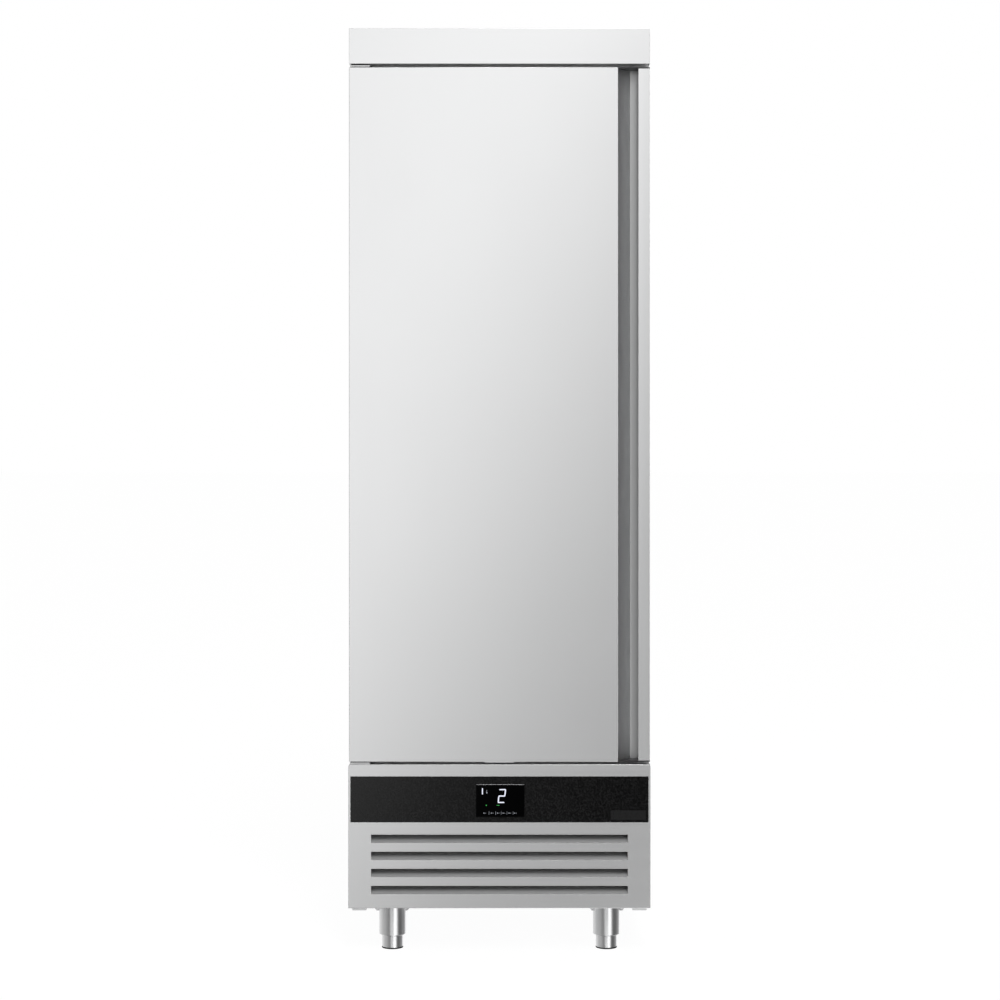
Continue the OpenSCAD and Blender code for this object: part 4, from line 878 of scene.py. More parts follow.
@dataclass
class Display:
    """The display behind its glass: a figure, lamps and a row of key marks, with no words.

    A mark is given by the x and z of its middle and its width and height, or by its radius.
    """

    front: float = FACE_Y
    relief: float = 0.05
    edge: float = 0.8
    rim_edge: float = 0.2  # the shortest edge round the glass's corners is longer than this
    housing_edge: float = 0.5
    figure_z: tuple[float, float] = (342.9, 374.5)
    figure_x: tuple[float, float] = (-4.3, 11.8)
    slant: float = 0.11
    stroke: float = 2.6
    gap: float = 0.35  # between two strokes
    tall_mark: tuple[float, ...] = (-38.4, 369.4, 2.3, 14.0)
    drop: tuple[float, ...] = (-28.6, 366.2, 1.6)
    drop_stem: tuple[float, ...] = (-28.6, 370.2, 1.0, 4.0)
    lamp: tuple[float, ...] = (-29.6, 337.7, 1.2)
    dash: tuple[float, ...] = (-3.2, 337.7, 6.2, 1.1)
    key_z: tuple[float, float] = (316.5, 323.8)
    key_mark_z: float = 320.1
    key_end: float = 42.0
    dividers: tuple[float, ...] = (-23.5, -8.6, 4.0, 17.0, 31.0)
    divider_w: float = 0.6
    key_marks: tuple[tuple[float, ...], ...] = ((-2.2, 2.2, 2.2), (1.4, 1.6, 1.2))  # shift, width, height

    def patch(self, bm: bmesh.types.BMesh, corners: Iterable[tuple[float, float]]) -> None:
        """Adds a thin patch on the glass from its corners in x and z."""
        add_prism(bm, [mm(x, self.front + self.relief, z) for x, z in corners],
                  Vector((0, -self.relief * MM, 0)))

    def bar(self, bm: bmesh.types.BMesh, x: float, z: float, w: float, h: float) -> None:
        """Adds an upright rectangle round a middle point."""
        self.patch(bm, [(x - w / 2, z - h / 2), (x + w / 2, z - h / 2), (x + w / 2, z + h / 2),
                        (x - w / 2, z + h / 2)])

    def disc(self, bm: bmesh.types.BMesh, x: float, z: float, radius: float, sides: int) -> None:
        """Adds a round patch round a middle point."""
        add_turned(bm, [(0, 0), (radius, 0), (radius, self.relief), (0, self.relief)],
                   mm(x, self.front + self.relief, z), -Y, sides)

    def figure(self) -> None:
        """Builds the figure 2 from five slanted strokes."""
        bm = bmesh.new()
        (left, right), (low, high) = self.figure_x, self.figure_z
        middle, half, gap = (low + high) / 2, self.stroke / 2, self.gap

        def lean(points: Iterable[tuple[float, float]]) -> list:
            """Slants points to the right with their height."""
            return [(x + (z - low) * self.slant, z) for x, z in points]

        start, end = left + gap, right - gap
        for z in (low + half, middle, high - half):
            self.patch(bm, lean(((start + half, z - half), (end - half, z - half), (end, z),
                                 (end - half, z + half), (start + half, z + half), (start, z))))
        for x, foot, head in ((right - half, middle, high - half), (left + half, low + half, middle)):
            foot, head = foot + gap, head - gap
            self.patch(bm, lean(((x, foot), (x + half, foot + half), (x + half, head - half), (x, head),
                                 (x - half, head - half), (x - half, foot + half))))
        self.bar(bm, *self.tall_mark)
        place("display_figure", bm, LIT_WHITE, body="cabinet", slot="display")

    def marks(self) -> None:
        """Builds the faint marks over the keys and their dividers."""
        bm = bmesh.new()
        low, high = self.key_z
        for x in self.dividers:
            self.bar(bm, x, (low + high) / 2, self.divider_w, high - low)
        edges = [-self.key_end, *self.dividers, self.key_end]
        for start, end in zip(edges, edges[1:]):
            for shift, width, height in self.key_marks:
                self.bar(bm, (start + end) / 2 + shift, self.key_mark_z, width, height)
        self.disc(bm, *self.drop, 16)
        self.bar(bm, *self.drop_stem)
        place("display_marks", bm, LIT_FAINT, body="cabinet", slot="display")

    def lamps(self) -> None:
        """Builds the green lamp and the green dash."""
        bm = bmesh.new()
        self.disc(bm, *self.lamp, 20)
        self.bar(bm, *self.dash)
        place("display_lamps", bm, LIT_GREEN, body="cabinet", slot="display")

    def build(self) -> None:
        """Builds the glass, set back under its marks, with a painted highlight on its top edge, and what
        shows on it.
        """
        bm = welded("display_glass")
        sink_face(bm, self.relief)
        rim = sharp_edges(bm, lambda p: p.y < FACE_Y + NEAR, self.rim_edge)
        soften(bm, rim, self.edge, 3)
        window = place("display_window", bm, PANEL_GLASS, "display_glass")
        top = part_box("display_glass")[1][2] / MM - self.edge
        # The top edge of the glass gets a grey metal finish, a painted highlight.
        face_with(window, GLASS_TOP_HIGHLIGHT, lambda p: p.z > top and p.y < FACE_Y + self.edge + 0.1)
        formed("display_housing_box", "display_module", BOARD, 0, self.housing_edge)
        self.figure()
        self.marks()
        self.lamps()


@dataclass
class BaseFront:
    """The louvred front of the base with its black control strip."""

    fold: float = 1.0
    edge: float = 0.22
    side_rim: float = 3.0  # the rim's edges lie this near to the sides or to the top
    top_rim: float = 5.1
    slots: float = 291.0
    blade_depth: float = 3.0  # the louvres' blades lie deeper than this
    strip_drop: float = 0.5
    plate_x: tuple[float, float] = (251.6, 330.6)
    plate_z: tuple[float, float] = (305.0, 326.0)
    plate_drop: float = 0.02
    plate_corner: float = 1.4
    plate_edge: float = 0.06
    display: Display = field(default_factory=Display)

    def build(self) -> None:
        """Builds the panel, the strip, the bare plate and the display."""
        self.panel()
        self.strip()
        self.plate()
        self.display.build()

    def panel(self) -> None:
        """Builds the panel, with a matt finish on the blades of its louvres."""
        bm = welded("front_panel")
        low, high = [Vector(corner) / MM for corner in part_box("front_panel")]
        rim = sharp_edges(bm, lambda p: p.y < FACE_Y + ON and (
            abs(p.x) > high.x - self.side_rim or p.z > high.z - self.top_rim or p.z < low.z + ON), 0.5)
        soften(bm, rim, self.fold, 3)
        soften(bm, sharp_edges(bm), self.edge)
        piece = place("base_front", bm, BASE_STEEL, "front_panel")
        face_with(piece, BLADE_STEEL, lambda p: p.y > FACE_Y + self.blade_depth
                  and abs(p.x) < self.slots and p.z < self.plate_z[0])

    def strip(self) -> None:
        """Builds the strip, set a little into its recess."""
        bm = welded("control_strip")
        sink_face(bm, self.strip_drop)
        place("strip_film_panel", bm, STRIP_FILM, "control_strip")

    def plate(self) -> None:
        """Builds the bare plate at the right end of the strip."""
        bm = bmesh.new()
        (left, right), (low, high) = self.plate_x, self.plate_z
        add_rounded_box(bm, (left, FACE_Y + self.plate_drop, low), (right, FACE_Y + self.strip_drop, high),
                        self.plate_corner, 4, Y)
        rim = sharp_edges(bm, lambda p: p.y < FACE_Y + self.plate_drop + ON, 0.2)
        soften(bm, rim, self.plate_edge, 1)
        place("badge_plate", bm, BARE_PLATE, body="cabinet", slot="black_strip")


@dataclass
class Legs:
    """The four adjustable legs: flange plates, tubes, feet and rubber pads."""

    x: float = 245.0
    y: float = 325.0
    tube_r: float = 30.5
    tube_z: tuple[float, float] = (29.5, 100.0)
    tube_wall: float = 2.0
    taper_w: float = 5.5
    taper_h: float = 3.0
    collar_h: float = 14.0
    foot_r: float = 24.0
    foot_fit: float = 0.3
    foot_top: float = 78.0
    foot_wall: float = 4.0
    foot_floor: float = 8.0
    pad_h: float = 3.0
    plate: float = 40.0
    plate_z: tuple[float, float] = (100.0, 105.0)
    plate_corner: float = 7.0
    plate_edge: float = 0.5
    rim_slack: float = 0.1  # a rim's edges lie above the tube's end, or below it by less than this
    steps: int = 96

    def places(self) -> dict[str, Vector]:
        """Returns the foot of each leg's axis, by the leg's name."""
        return {f"{row}_{side}": mm(sx * self.x, sy * self.y, 0)
                for row, sy in (("front", -1), ("rear", 1)) for side, sx in (("left", -1), ("right", 1))}

    def build(self) -> None:
        """Builds all four legs."""
        tubes = bmesh.new()
        for leg, centre in self.places().items():
            self.tube(tubes, centre)
            self.foot(leg, centre)
        place("leg_sleeves", tubes, LEG_STEEL, "leg_tubes")

    def foot(self, leg: str, centre: Vector) -> None:
        """Builds a foot, which is a cup with its mouth up, and the pad under it.

        Args:
            leg: Name of the leg.
            centre: Foot of its axis, in metres.
        """
        r, top, low, inside = self.foot_r, self.foot_top, self.pad_h, self.foot_r - self.foot_wall
        bm = bmesh.new()
        add_turned(bm, [(0, low), (r - 0.8, low), (r - 0.25, low + 0.25), (r, low + 0.8), (r, top - 1.2),
                        (r - 1.2, top), (inside, top), (inside, self.foot_floor), (0, self.foot_floor)],
                   centre, steps=self.steps)
        place(f"foot_cup_{leg}", bm, LEG_STEEL, f"foot_{leg}")
        bm = bmesh.new()
        add_turned(bm, [(0, 0), (r - 1, 0), (r, 0.3), (r + 0.4, 1), (r + 0.4, low - 0.3),
                        (r + 0.1, low), (0, low)], centre, steps=self.steps)
        place(f"foot_pad_{leg}", bm, PAD_RUBBER, f"pad_{leg}")

    def tube(self, bm: bmesh.types.BMesh, centre: Vector) -> None:
        """Adds a sleeve, with a cone at its lower end, and its flange plate.

        Args:
            bm: The mesh that they are added to.
            centre: Foot of the leg's axis, in metres.
        """
        r, (low, high), guide = self.tube_r, self.tube_z, self.foot_r + self.foot_fit
        inside, mouth, shoulder = r - self.tube_wall, r - self.taper_w, low + self.taper_h
        add_turned(bm, [(guide, low + 0.3), (guide + 0.3, low), (mouth - 0.1, low),
                        (mouth + 0.4, low + 0.2), (r - 0.4, shoulder - 0.3), (r, shoulder + 0.3),
                        (r, high), (inside, high), (inside, low + self.collar_h),
                        (guide, low + self.collar_h), (guide, low + 0.3)], centre, steps=self.steps)
        at, p, (z0, z1) = centre / MM, self.plate, self.plate_z
        add_rounded_box(bm, (at.x - p, at.y - p, z0), (at.x + p, at.y + p, z1), self.plate_corner, 5, Z)
        rims = sharp_edges(bm, lambda q: q.z > high - self.rim_slack and max(
            abs(q.x - at.x), abs(q.y - at.y)) > p * 0.8, 0.5)
        soften(bm, rims, self.plate_edge)


@dataclass
class Fasteners:
    """Every screw and bolt, with the socket that its driver goes into or its nut."""

    head: tuple[float, float] = (3.4, 4.4)
    across: float = 3.0
    inset: float = 0.6  # how far out a socket's rim starts, as a share of its width
    depth: float = 1.1
    round_sides: int = 12
    bolt_r: float = 4.0
    bolt_z: float = 91.0
    bolt_end: float = 2.5
    nut_h: float = 12.0
    edge: float = 0.4

    def build(self) -> None:
        """Builds the screws as one piece."""
        bm = welded("screws")
        low, high = self.head
        for face in self.ends(bm, low, high):
            self.socket(bm, face)
        for face in self.ends(bm, high, 2 * high):
            if face.calc_center_median().z < (self.bolt_z + ON) * MM:
                self.nut(bm, face)
        nuts = sharp_edges(bm, lambda p: p.z < self.bolt_z + self.nut_h, 1.5)
        soften(bm, nuts, self.edge)
        place("screw_heads", bm, SCREW_STEEL, "screws")

    def ends(self, bm: bmesh.types.BMesh, low: float, high: float) -> list:
        """Finds round faces.

        Args:
            bm: The mesh.
            low: Smallest radius in millimetres.
            high: Largest radius in millimetres.

        Returns:
            The faces.
        """
        found = []
        for face in bm.faces:
            centre = face.calc_center_median()
            reach = [(vert.co - centre).length / MM for vert in face.verts]
            is_round = len(reach) >= self.round_sides and max(reach) < min(reach) + 0.1
            if is_round and low < min(reach) and max(reach) < high:
                found.append(face)
        return found

    @staticmethod
    def make_six_sided(verts: Sequence[bmesh.types.BMVert], centre: Vector, side: Vector,
                       corner: float) -> None:
        """Moves a ring of vertices onto a hexagon.

        Args:
            verts: The ring.
            centre: Its middle.
            side: Direction of one corner.
            corner: Distance of the corners from the middle, in millimetres.
        """
        for vert in verts:
            arm = vert.co - centre
            wedge = arm.angle(side) % (math.pi / 3) - math.pi / 6
            reach = corner * math.cos(math.pi / 6) / math.cos(wedge)
            vert.co = centre + arm.normalized() * reach * MM

    def socket(self, bm: bmesh.types.BMesh, face: bmesh.types.BMFace) -> None:
        """Sinks a six-sided socket into a head.

        Args:
            bm: The mesh.
            face: Round top of the head.
        """
        centre, out = face.calc_center_median(), face.normal.copy()
        arm = face.verts[0].co - centre
        corner = self.across / 2 / math.cos(math.pi / 6)
        rim = arm.length - self.across * self.inset * MM
        bmesh.ops.inset_individual(bm, faces=[face], thickness=rim)
        self.make_six_sided(face.verts, centre, arm.normalized(), corner)
        sunk = bmesh.ops.extrude_discrete_faces(bm, faces=[face])["faces"][0]
        bmesh.ops.translate(bm, vec=-out * self.depth * MM, verts=sunk.verts)

    def nut(self, bm: bmesh.types.BMesh, face: bmesh.types.BMFace) -> None:
        """Turns the lower end of a bolt into a nut with the bolt's end in it.

        Args:
            bm: The mesh.
            face: Round lower end of the bolt.
        """
        centre, rim = face.calc_center_median(), list(face.verts)
        upper = [edge.other_vert(v) for v in rim for edge in v.link_edges
                 if edge.other_vert(v).co.z - v.co.z > MM]
        arm = rim[0].co - centre
        bmesh.ops.inset_individual(bm, faces=[face], thickness=arm.length - self.bolt_r * MM)
        root = list(face.verts)
        bmesh.ops.extrude_discrete_faces(bm, faces=[face])
        bmesh.ops.translate(bm, vec=Z * self.bolt_end * MM, verts=rim + root)
        for ring in (rim, upper):
            middle = Vector((centre.x, centre.y, ring[0].co.z))
            self.make_six_sided(ring, middle, arm.normalized(), arm.length / MM)


@dataclass
class Interior:
    """The liner with its rounded corners, the rack and the wire shelves."""

    half: float = 280.0
    front: float = -331.5
    back: float = 345.0
    floor: float = 481.0
    lintel: float = 1960.0
    band: float = -293.0
    ceiling: float = 2030.0
    middle: float = 1000.0  # the lip's vertices above this height move up, and the others down
    cove: float = 14.0
    nose: float = 3.0
    lip: float = 8.0
    sheet: float = 1.0
    post_fold: float = 0.8
    post_edge: float = 0.2
    rail_edge: float = 0.35

    def build(self) -> None:
        """Builds the interior's pieces."""
        self.liner()
        formed("rack_uprights", "rack_posts", RACK_STEEL, self.post_fold, self.post_edge)
        formed("shelf_rails", "shelf_runners", RACK_STEEL, 0, self.rail_edge)
        dress(SHELF_CHROME, "shelf_lower", "shelf_middle", "shelf_upper")

    def liner(self) -> None:
        """Builds the liner as one coved shell with a flange behind the front frame."""
        bm = bmesh.new()
        side = [(self.front, self.floor), (self.back, self.floor), (self.back, self.ceiling),
                (self.band, self.ceiling), (self.band, self.lintel), (self.front, self.lintel)]
        add_prism(bm, [mm(-self.half, y, z) for y, z in side], mm(2 * self.half, 0, 0))
        mouth = [f for f in bm.faces if all(abs(v.co.y / MM - self.front) < ON for v in f.verts)]
        bmesh.ops.delete(bm, geom=mouth, context="FACES_ONLY")
        inner = [e for e in bm.edges if e.is_manifold and (
            (e.verts[0].co + e.verts[1].co).y / 2 / MM > self.band + 1)]
        soften(bm, inner, self.cove, 6)
        nose = sharp_edges(bm, lambda p: abs(p.z - self.lintel) < ON and abs(p.y - self.band) < ON)
        soften(bm, nose, self.nose, 4)
        rim = [e for e in bm.edges if e.is_boundary]
        drawn = bmesh.ops.extrude_edge_only(bm, edges=rim)["geom"]
        for vert in (part for part in drawn if isinstance(part, bmesh.types.BMVert)):
            vert.co.x += math.copysign(self.lip * MM, vert.co.x)
            vert.co.z += math.copysign(self.lip * MM, vert.co.z - self.middle * MM)
        bmesh.ops.recalc_face_normals(bm, faces=bm.faces)
        if self.floor_face(bm).normal.z < 0:
            bmesh.ops.reverse_faces(bm, faces=bm.faces)
        bmesh.ops.solidify(bm, geom=bm.faces, thickness=self.sheet * MM)
        place("cavity_liner", bm, LINER_STEEL, "inner_liner")

    @staticmethod
    def floor_face(bm: bmesh.types.BMesh) -> bmesh.types.BMFace:
        """Returns the lowest face that lies in the middle and doesn't look to the front."""
        return min(bm.faces, key=lambda f: f.calc_center_median().z + 10 * (
            abs(f.calc_center_median().x) + abs(f.normal.y)))


@dataclass(frozen=True)
class Fan:
    """A moulded fan with curved blades round the z axis, from z = 0 to the height of its hub."""

    hub_r: float
    hub_h: float
    tip_r: float
    blades: int = 5
    bore: float = 4.05
    collar: float = 4.0  # width of the ring round the bore
    root: float = 2.0  # how deep a blade starts in the hub
    root_chord: float = 0.42  # width of a blade at its root, as a share of tip_r
    more_chord: float = 0.30  # how much wider it is at its tip
    root_pitch: float = 34.0  # slant of a blade at its root, in degrees
    less_pitch: float = 14.0  # how much flatter it is at its tip
    sweep: float = 0.12  # how far the tip runs ahead, in radians
    camber: float = 6.0
    corner: float = 12.0  # how far the tip's corners are cut back
    sheet: float = 1.6

    def add(self, bm: bmesh.types.BMesh) -> None:
        """Adds the fan to a mesh.

        Args:
            bm: The mesh, which is empty.
        """
        bore, r, h = self.bore, self.hub_r, self.hub_h
        ring = bore + self.collar
        add_turned(bm, [(bore, 0), (r - 1.5, 0), (r, 1.5), (r, h - 4), (r - 1.2, h - 1.2), (r - 4, h),
                        (ring, h), (ring - 0.8, h - 1), (bore, h - 1), (bore, 0)], Vector())
        blade = self.add_blade(bm)
        for number in range(1, self.blades):
            copy = bmesh.ops.duplicate(bm, geom=blade)["geom"]
            turn = Matrix.Rotation(math.tau * number / self.blades, 3, "Z")
            bmesh.ops.rotate(bm, cent=(0, 0, 0), matrix=turn,
                             verts=[part for part in copy if isinstance(part, bmesh.types.BMVert)])
        bmesh.ops.recalc_face_normals(bm, faces=bm.faces)

    def add_blade(self, bm: bmesh.types.BMesh) -> list:
        """Adds one blade, a grid that is bent and given its wall.

        Args:
            bm: The mesh that it is added to.

        Returns:
            Its vertices, edges and faces.
        """
        grid = bmesh.ops.create_grid(bm, x_segments=10, y_segments=7, size=0.5)["verts"]
        for vert in grid:
            span, across = vert.co.x + 0.5, vert.co.y
            radius = self.hub_r - self.root + span * (self.tip_r - self.hub_r + self.root)
            radius -= max(0.0, abs(across) - 0.25) * self.corner * span ** 3
            chord = self.tip_r * (self.root_chord + self.more_chord * span)
            pitch = math.radians(self.root_pitch - self.less_pitch * span)
            turn = across * chord * math.cos(pitch) / max(radius, self.hub_r) + self.sweep * span
            rise = (0.25 - across ** 2) * self.camber
            height = self.hub_h / 2 - across * chord * math.sin(pitch) + rise
            vert.co = mm(radius * math.cos(turn), radius * math.sin(turn), height)
        faces = list({f for v in grid for f in v.link_faces})
        solid = bmesh.ops.solidify(bm, geom=faces, thickness=self.sheet * MM)["geom"]
        walls = [part for part in [*solid, *faces] if isinstance(part, bmesh.types.BMFace)]
        verts = {v for f in walls for v in f.verts}
        edges = {e for v in verts for e in v.link_edges}
        return [*verts, *edges, *{f for v in verts for f in v.link_faces}]


def add_fins(bm: bmesh.types.BMesh, low: Sequence[float], high: Sequence[float], pitch: float,
             sheet: float = 0.3) -> None:
    """Adds a stack of upright fins along x that fills a box.

    Args:
        bm: The mesh that they are added to.
        low: Lowest corner of the box in millimetres.
        high: Highest corner of the box in millimetres.
        pitch: Distance from one fin to the next in millimetres.
        sheet: Thickness of a fin in millimetres.
    """
    count = int((high[0] - low[0]) / pitch)
    start = (low[0] + high[0] - (count - 1) * pitch) / 2
    for i in range(count):
        x = start + i * pitch
        add_box(bm, (x - sheet / 2, low[1], low[2]), (x + sheet / 2, high[1], high[2]))


def add_hairpin(bm: bmesh.types.BMesh, at: Vector, span: float, radius: float) -> None:
    """Adds a bent tube that joins two rows of tube and stands out along x by half its span.

    Args:
        bm: The mesh that it is added to.
        at: The middle between the two rows, in metres.
        span: Distance of the rows in millimetres.
        radius: Radius of the tube in millimetres.
    """
    half, out = span / 2, span / 2 * 0.98
    add_tube(bm, [at + mm(-1, 0, -half), at + mm(out, 0, -half), at + mm(out, 0, half),
                  at + mm(-1, 0, half)], radius, half * 0.96, 14, 8)


@dataclass
class AirUnit:
    """The evaporator under the ceiling: cover, coil, fan, motor, guard, drain and probe."""

    fan_y: float = -60.0
    wheel: Fan = Fan(22.0, 30.0, 82.0)
    cover_z: tuple[float, float] = (1865.0, 2030.0)
    cover_fold: float = 1.9
    edge: float = 0.3
    coil_x: float = 210.0
    coil_y: tuple[float, float] = (65.0, 305.0)
    coil_z: tuple[float, float] = (1899.0, 2016.0)
    fin_pitch: float = 4.2
    end_plate: float = 2.0
    end_rim: float = 4.0
    tube_r: float = 5.0
    tube_end: float = 2.5
    rows: int = 6
    row_inset: float = 20.0
    row_pitch: float = 40.0
    span: float = 30.0  # between the two tubes that a bent end joins
    guard_r: float = 98.0
    rings: int = 5
    wire: float = 2.5
    bar_r: float = 1.2
    bar_inset: float = 1.5
    bar_drop: float = 0.4
    shaft_r: float = 4.0
    motor_r: float = 32.0
    motor_z: tuple[float, float, float] = (1883.0, 1966.0, 2016.0)  # shaft's tip, body's foot and head
    bridge: tuple[float, float, float] = (50.0, 20.0, 15.0)  # half its length and width, and its height

    def build(self) -> None:
        """Builds the air unit's pieces."""
        bm = welded("evaporator_cover")
        low, high = [Vector(corner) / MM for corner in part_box("evaporator_cover")]
        folds = [e for e in sharp_edges(bm, outer(low, high)) if
                 (e.verts[0].co + e.verts[1].co).z / 2 / MM < high.z - 1]
        soften(bm, folds, self.cover_fold, 4)
        soften(bm, sharp_edges(bm), self.edge)
        place("air_cover", bm, COVER_PLASTIC, "evaporator_cover")
        self.coil()
        self.guard()
        self.fan()
        self.motor()
        dress(DRAIN_PLASTIC, "drain_tube")
        dress(PROBE_STEEL, "temperature_probe")

    def coil(self) -> None:
        """Builds the finned coil with its end plates and bent tube ends."""
        bm = bmesh.new()
        x, (y0, y1), (z0, z1), rim = self.coil_x, self.coil_y, self.coil_z, self.end_rim
        add_fins(bm, (-x, y0, z0), (x, y1, z1), self.fin_pitch)
        for side in (-1, 1):
            low, high = sorted((side * x, side * (x + self.end_plate)))
            add_box(bm, (low, y0 - rim, z0 - rim), (high, y1 + rim, self.cover_z[1]))
        place("air_coil_fins", bm, FIN_METAL, "evaporator_coil")
        bm = bmesh.new()
        end, half = x + self.tube_end, self.span / 2
        for row in range(self.rows):
            y = y0 + self.row_inset + row * self.row_pitch
            pairs = z0 + self.span, z1 - self.span
            for z in (middle + side * half for middle in pairs for side in (-1, 1)):
                add_tube(bm, [mm(-end, y, z), mm(end, y, z)], self.tube_r)
            for z in pairs:
                add_hairpin(bm, mm(x + self.end_plate, y, z), self.span, self.tube_r)
        place("air_coil_tubes", bm, COPPER, body="cabinet", slot="copper")

    def guard(self) -> None:
        """Builds the wire guard under the fan: round rings on crossed bars."""
        bm = bmesh.new()
        half, sides = self.wire / 2, 10
        centre = mm(0, self.fan_y, self.cover_z[0] - half)
        for number in range(1, self.rings + 1):
            r = self.guard_r * number / self.rings - half
            ring = [(r + half * math.cos(a), half * math.sin(a))
                    for a in (math.tau * k / sides for k in range(sides))]
            add_turned(bm, ring + ring[:1], centre, steps=72)
        middle = centre - Z * self.bar_drop * MM
        reach = (self.guard_r - self.bar_inset) * MM
        for direction in (X, Y):
            add_tube(bm, [middle - direction * reach, middle + direction * reach], self.bar_r, sides=sides)
        place("fan_guard_rings", bm, SHELF_CHROME, "fan_guard")

    def fan(self) -> None:
        """Builds the fan."""
        bm = bmesh.new()
        self.wheel.add(bm)
        low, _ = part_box("evaporator_fan")
        bmesh.ops.translate(bm, vec=(0, self.fan_y * MM, low[2]), verts=bm.verts)
        place("air_fan", bm, FAN_PLASTIC, "evaporator_fan")

    def motor(self) -> None:
        """Builds the fan motor on its bridge."""
        bm = bmesh.new()
        s, r, (tip, foot, head) = self.shaft_r, self.motor_r, self.motor_z
        add_turned(bm, [(0, tip), (s - 0.6, tip), (s, tip + 0.6), (s, foot), (14, foot + 1), (16, foot + 3),
                        (r - 3, foot + 3), (r, foot + 6), (r, foot + 18), (r - 1, foot + 19),
                        (r - 1, foot + 33), (r, foot + 34), (r, foot + 46), (r - 3, head), (0, head)],
                   mm(0, self.fan_y, 0))
        length, width, height = self.bridge
        top = self.cover_z[1]
        add_rounded_box(bm, (-length, self.fan_y - width, top - height),
                        (length, self.fan_y + width, top), 1)
        place("air_fan_motor", bm, MOTOR_PAINT, "evaporator_motor")


@dataclass
class CondensingUnit:
    """The machine compartment: condenser, fan, compressor, pipes, tray and boxes."""

    edge: float = 0.3
    fold: float = 0.8
    coil_x: tuple[float, float] = (-60.0, 280.0)
    coil_y: tuple[float, float] = (-301.0, -253.0)
    deck: float = 107.0
    coil_h: float = 250.0
    fin_inset: tuple[float, float] = (3.0, 12.0)  # from the coil's sides, and from its foot and head
    fin_pitch: float = 2.8
    fin_sheet: float = 0.25
    end_plate: float = 2.5
    tube_r: float = 5.0
    tube_rows: int = 4
    row_inset: float = 50.0
    span: float = 30.0  # between the two tubes that a bent end joins
    port: float = 14.0  # how far the coil's ports stand out
    port_inset: float = 25.0
    wheel: Fan = Fan(24.0, 30.0, 92.0)
    fan_x: float = 110.0
    fan_z: float = 232.0
    shaft_r: float = 4.0
    motor_r: float = 38.0
    motor_y: float = -202.0
    post: tuple[float, float, float] = (14.0, 20.0, 213.0)  # half its width and depth, and its head
    foot: tuple[float, float, float] = (50.0, 25.0, 3.0)  # half its width and depth, and its height
    comp: tuple[float, float, float] = (-150.0, 130.0, 125.0)
    comp_r: float = 82.0
    comp_h: float = 170.0
    shoulder: float = 0.45  # radius of the compressor's shoulders, as a share of its own
    seam: float = 0.62  # height of its weld seam, as a share of its own
    base: tuple[float, float, float] = (105.0, 75.0, 3.0)  # half its length and width, and its height
    base_corner: float = 18.0
    stub_x: float = 40.0
    stub_r: float = 7.5
    stub_h: float = 10.0
    pipe_y: float = 362.0
    pipe_bend: float = 12.0
    suction_r: float = 6.0
    liquid_r: float = 3.5
    drier_l: float = 100.0
    drier_r: float = 11.0
    air_unit_y: float = 305.0
    air_unit_z: tuple[float, float] = (1930.0, 1985.0)  # where the liquid and suction pipes go in

    def build(self) -> None:
        """Builds the compartment's pieces."""
        for name, node, finish, fold, edge in (
                ("deck_sheet", "machine_deck", ZINC_SHEET, 0, self.edge),
                ("cross_beam", "front_crossmember", ZINC_SHEET, self.fold, self.edge),
                ("leg_rails", "support_rails", FRAME_STEEL, 0, 0.4),
                ("rear_louvre_panel", "rear_grille", ZINC_SHEET, self.fold, 0.2),
                ("control_box", "electrical_box", BOX_PLASTIC, 2.0, 0.4),
                ("meltwater_tray", "evaporation_tray", TRAY_PLASTIC, 1.2, 0.5),
                ("fan_shroud", "condenser_shroud", SHELL_PAINT, 0.9, 0.25),
                ("terminal_lid", "terminal_cover", BLACK_PLASTIC, 2.0, 0.8)):
            formed(name, node, finish, fold, edge)
        dress(BLACK_PLASTIC, "cable_gland")
        dress(GROMMET_RUBBER, "compressor_grommets")
        self.coil()
        self.fan()
        self.motor()
        self.compressor()
        self.pipes()

    def coil(self) -> None:
        """Builds the condenser with its fins, end plates and bent tube ends."""
        (x0, x1), (y0, y1), (side, end) = self.coil_x, self.coil_y, self.fin_inset
        z0, z1 = self.deck, self.deck + self.coil_h
        bm = bmesh.new()
        add_fins(bm, (x0 + side, y0 + side, z0 + end), (x1 - side, y1 - side, z1 - end), self.fin_pitch,
                 self.fin_sheet)
        for x in (x0, x1 - self.end_plate):
            add_rounded_box(bm, (x, y0, z0), (x + self.end_plate, y1, z1), 0.5, 1)
        place("condenser_fins", bm, FIN_METAL, "condenser_coil")
        bm = bmesh.new()
        middle, half = (y0 + y1) / 2, self.span / 2
        for row in range(self.tube_rows):
            z = z0 + self.row_inset + row * (self.coil_h - 2 * self.row_inset) / (self.tube_rows - 1)
            add_hairpin(bm, mm(x1, middle, z), self.span, self.tube_r)
            for shift in (-half, half):
                add_tube(bm, [mm(x0 - 1, middle, z + shift), mm(x1 + 1, middle, z + shift)], self.tube_r)
        for z in (z0 + self.port_inset, z1 - self.port_inset):
            add_tube(bm, [mm(x0 - self.port, middle, z), mm(x0 + 2, middle, z)], self.tube_r)
        place("condenser_tubes", bm, COPPER, body="cabinet", slot="copper")

    def fan(self) -> None:
        """Builds the fan, which turns on an axis along y."""
        bm = bmesh.new()
        self.wheel.add(bm)
        low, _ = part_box("condenser_fan")
        turn = Matrix.Translation((self.fan_x * MM, low[1], self.fan_z * MM)) @ Matrix.Rotation(
            -math.pi / 2, 4, "X")
        bmesh.ops.transform(bm, matrix=turn, verts=bm.verts)
        place("condenser_fan_wheel", bm, FAN_PLASTIC, "condenser_fan")

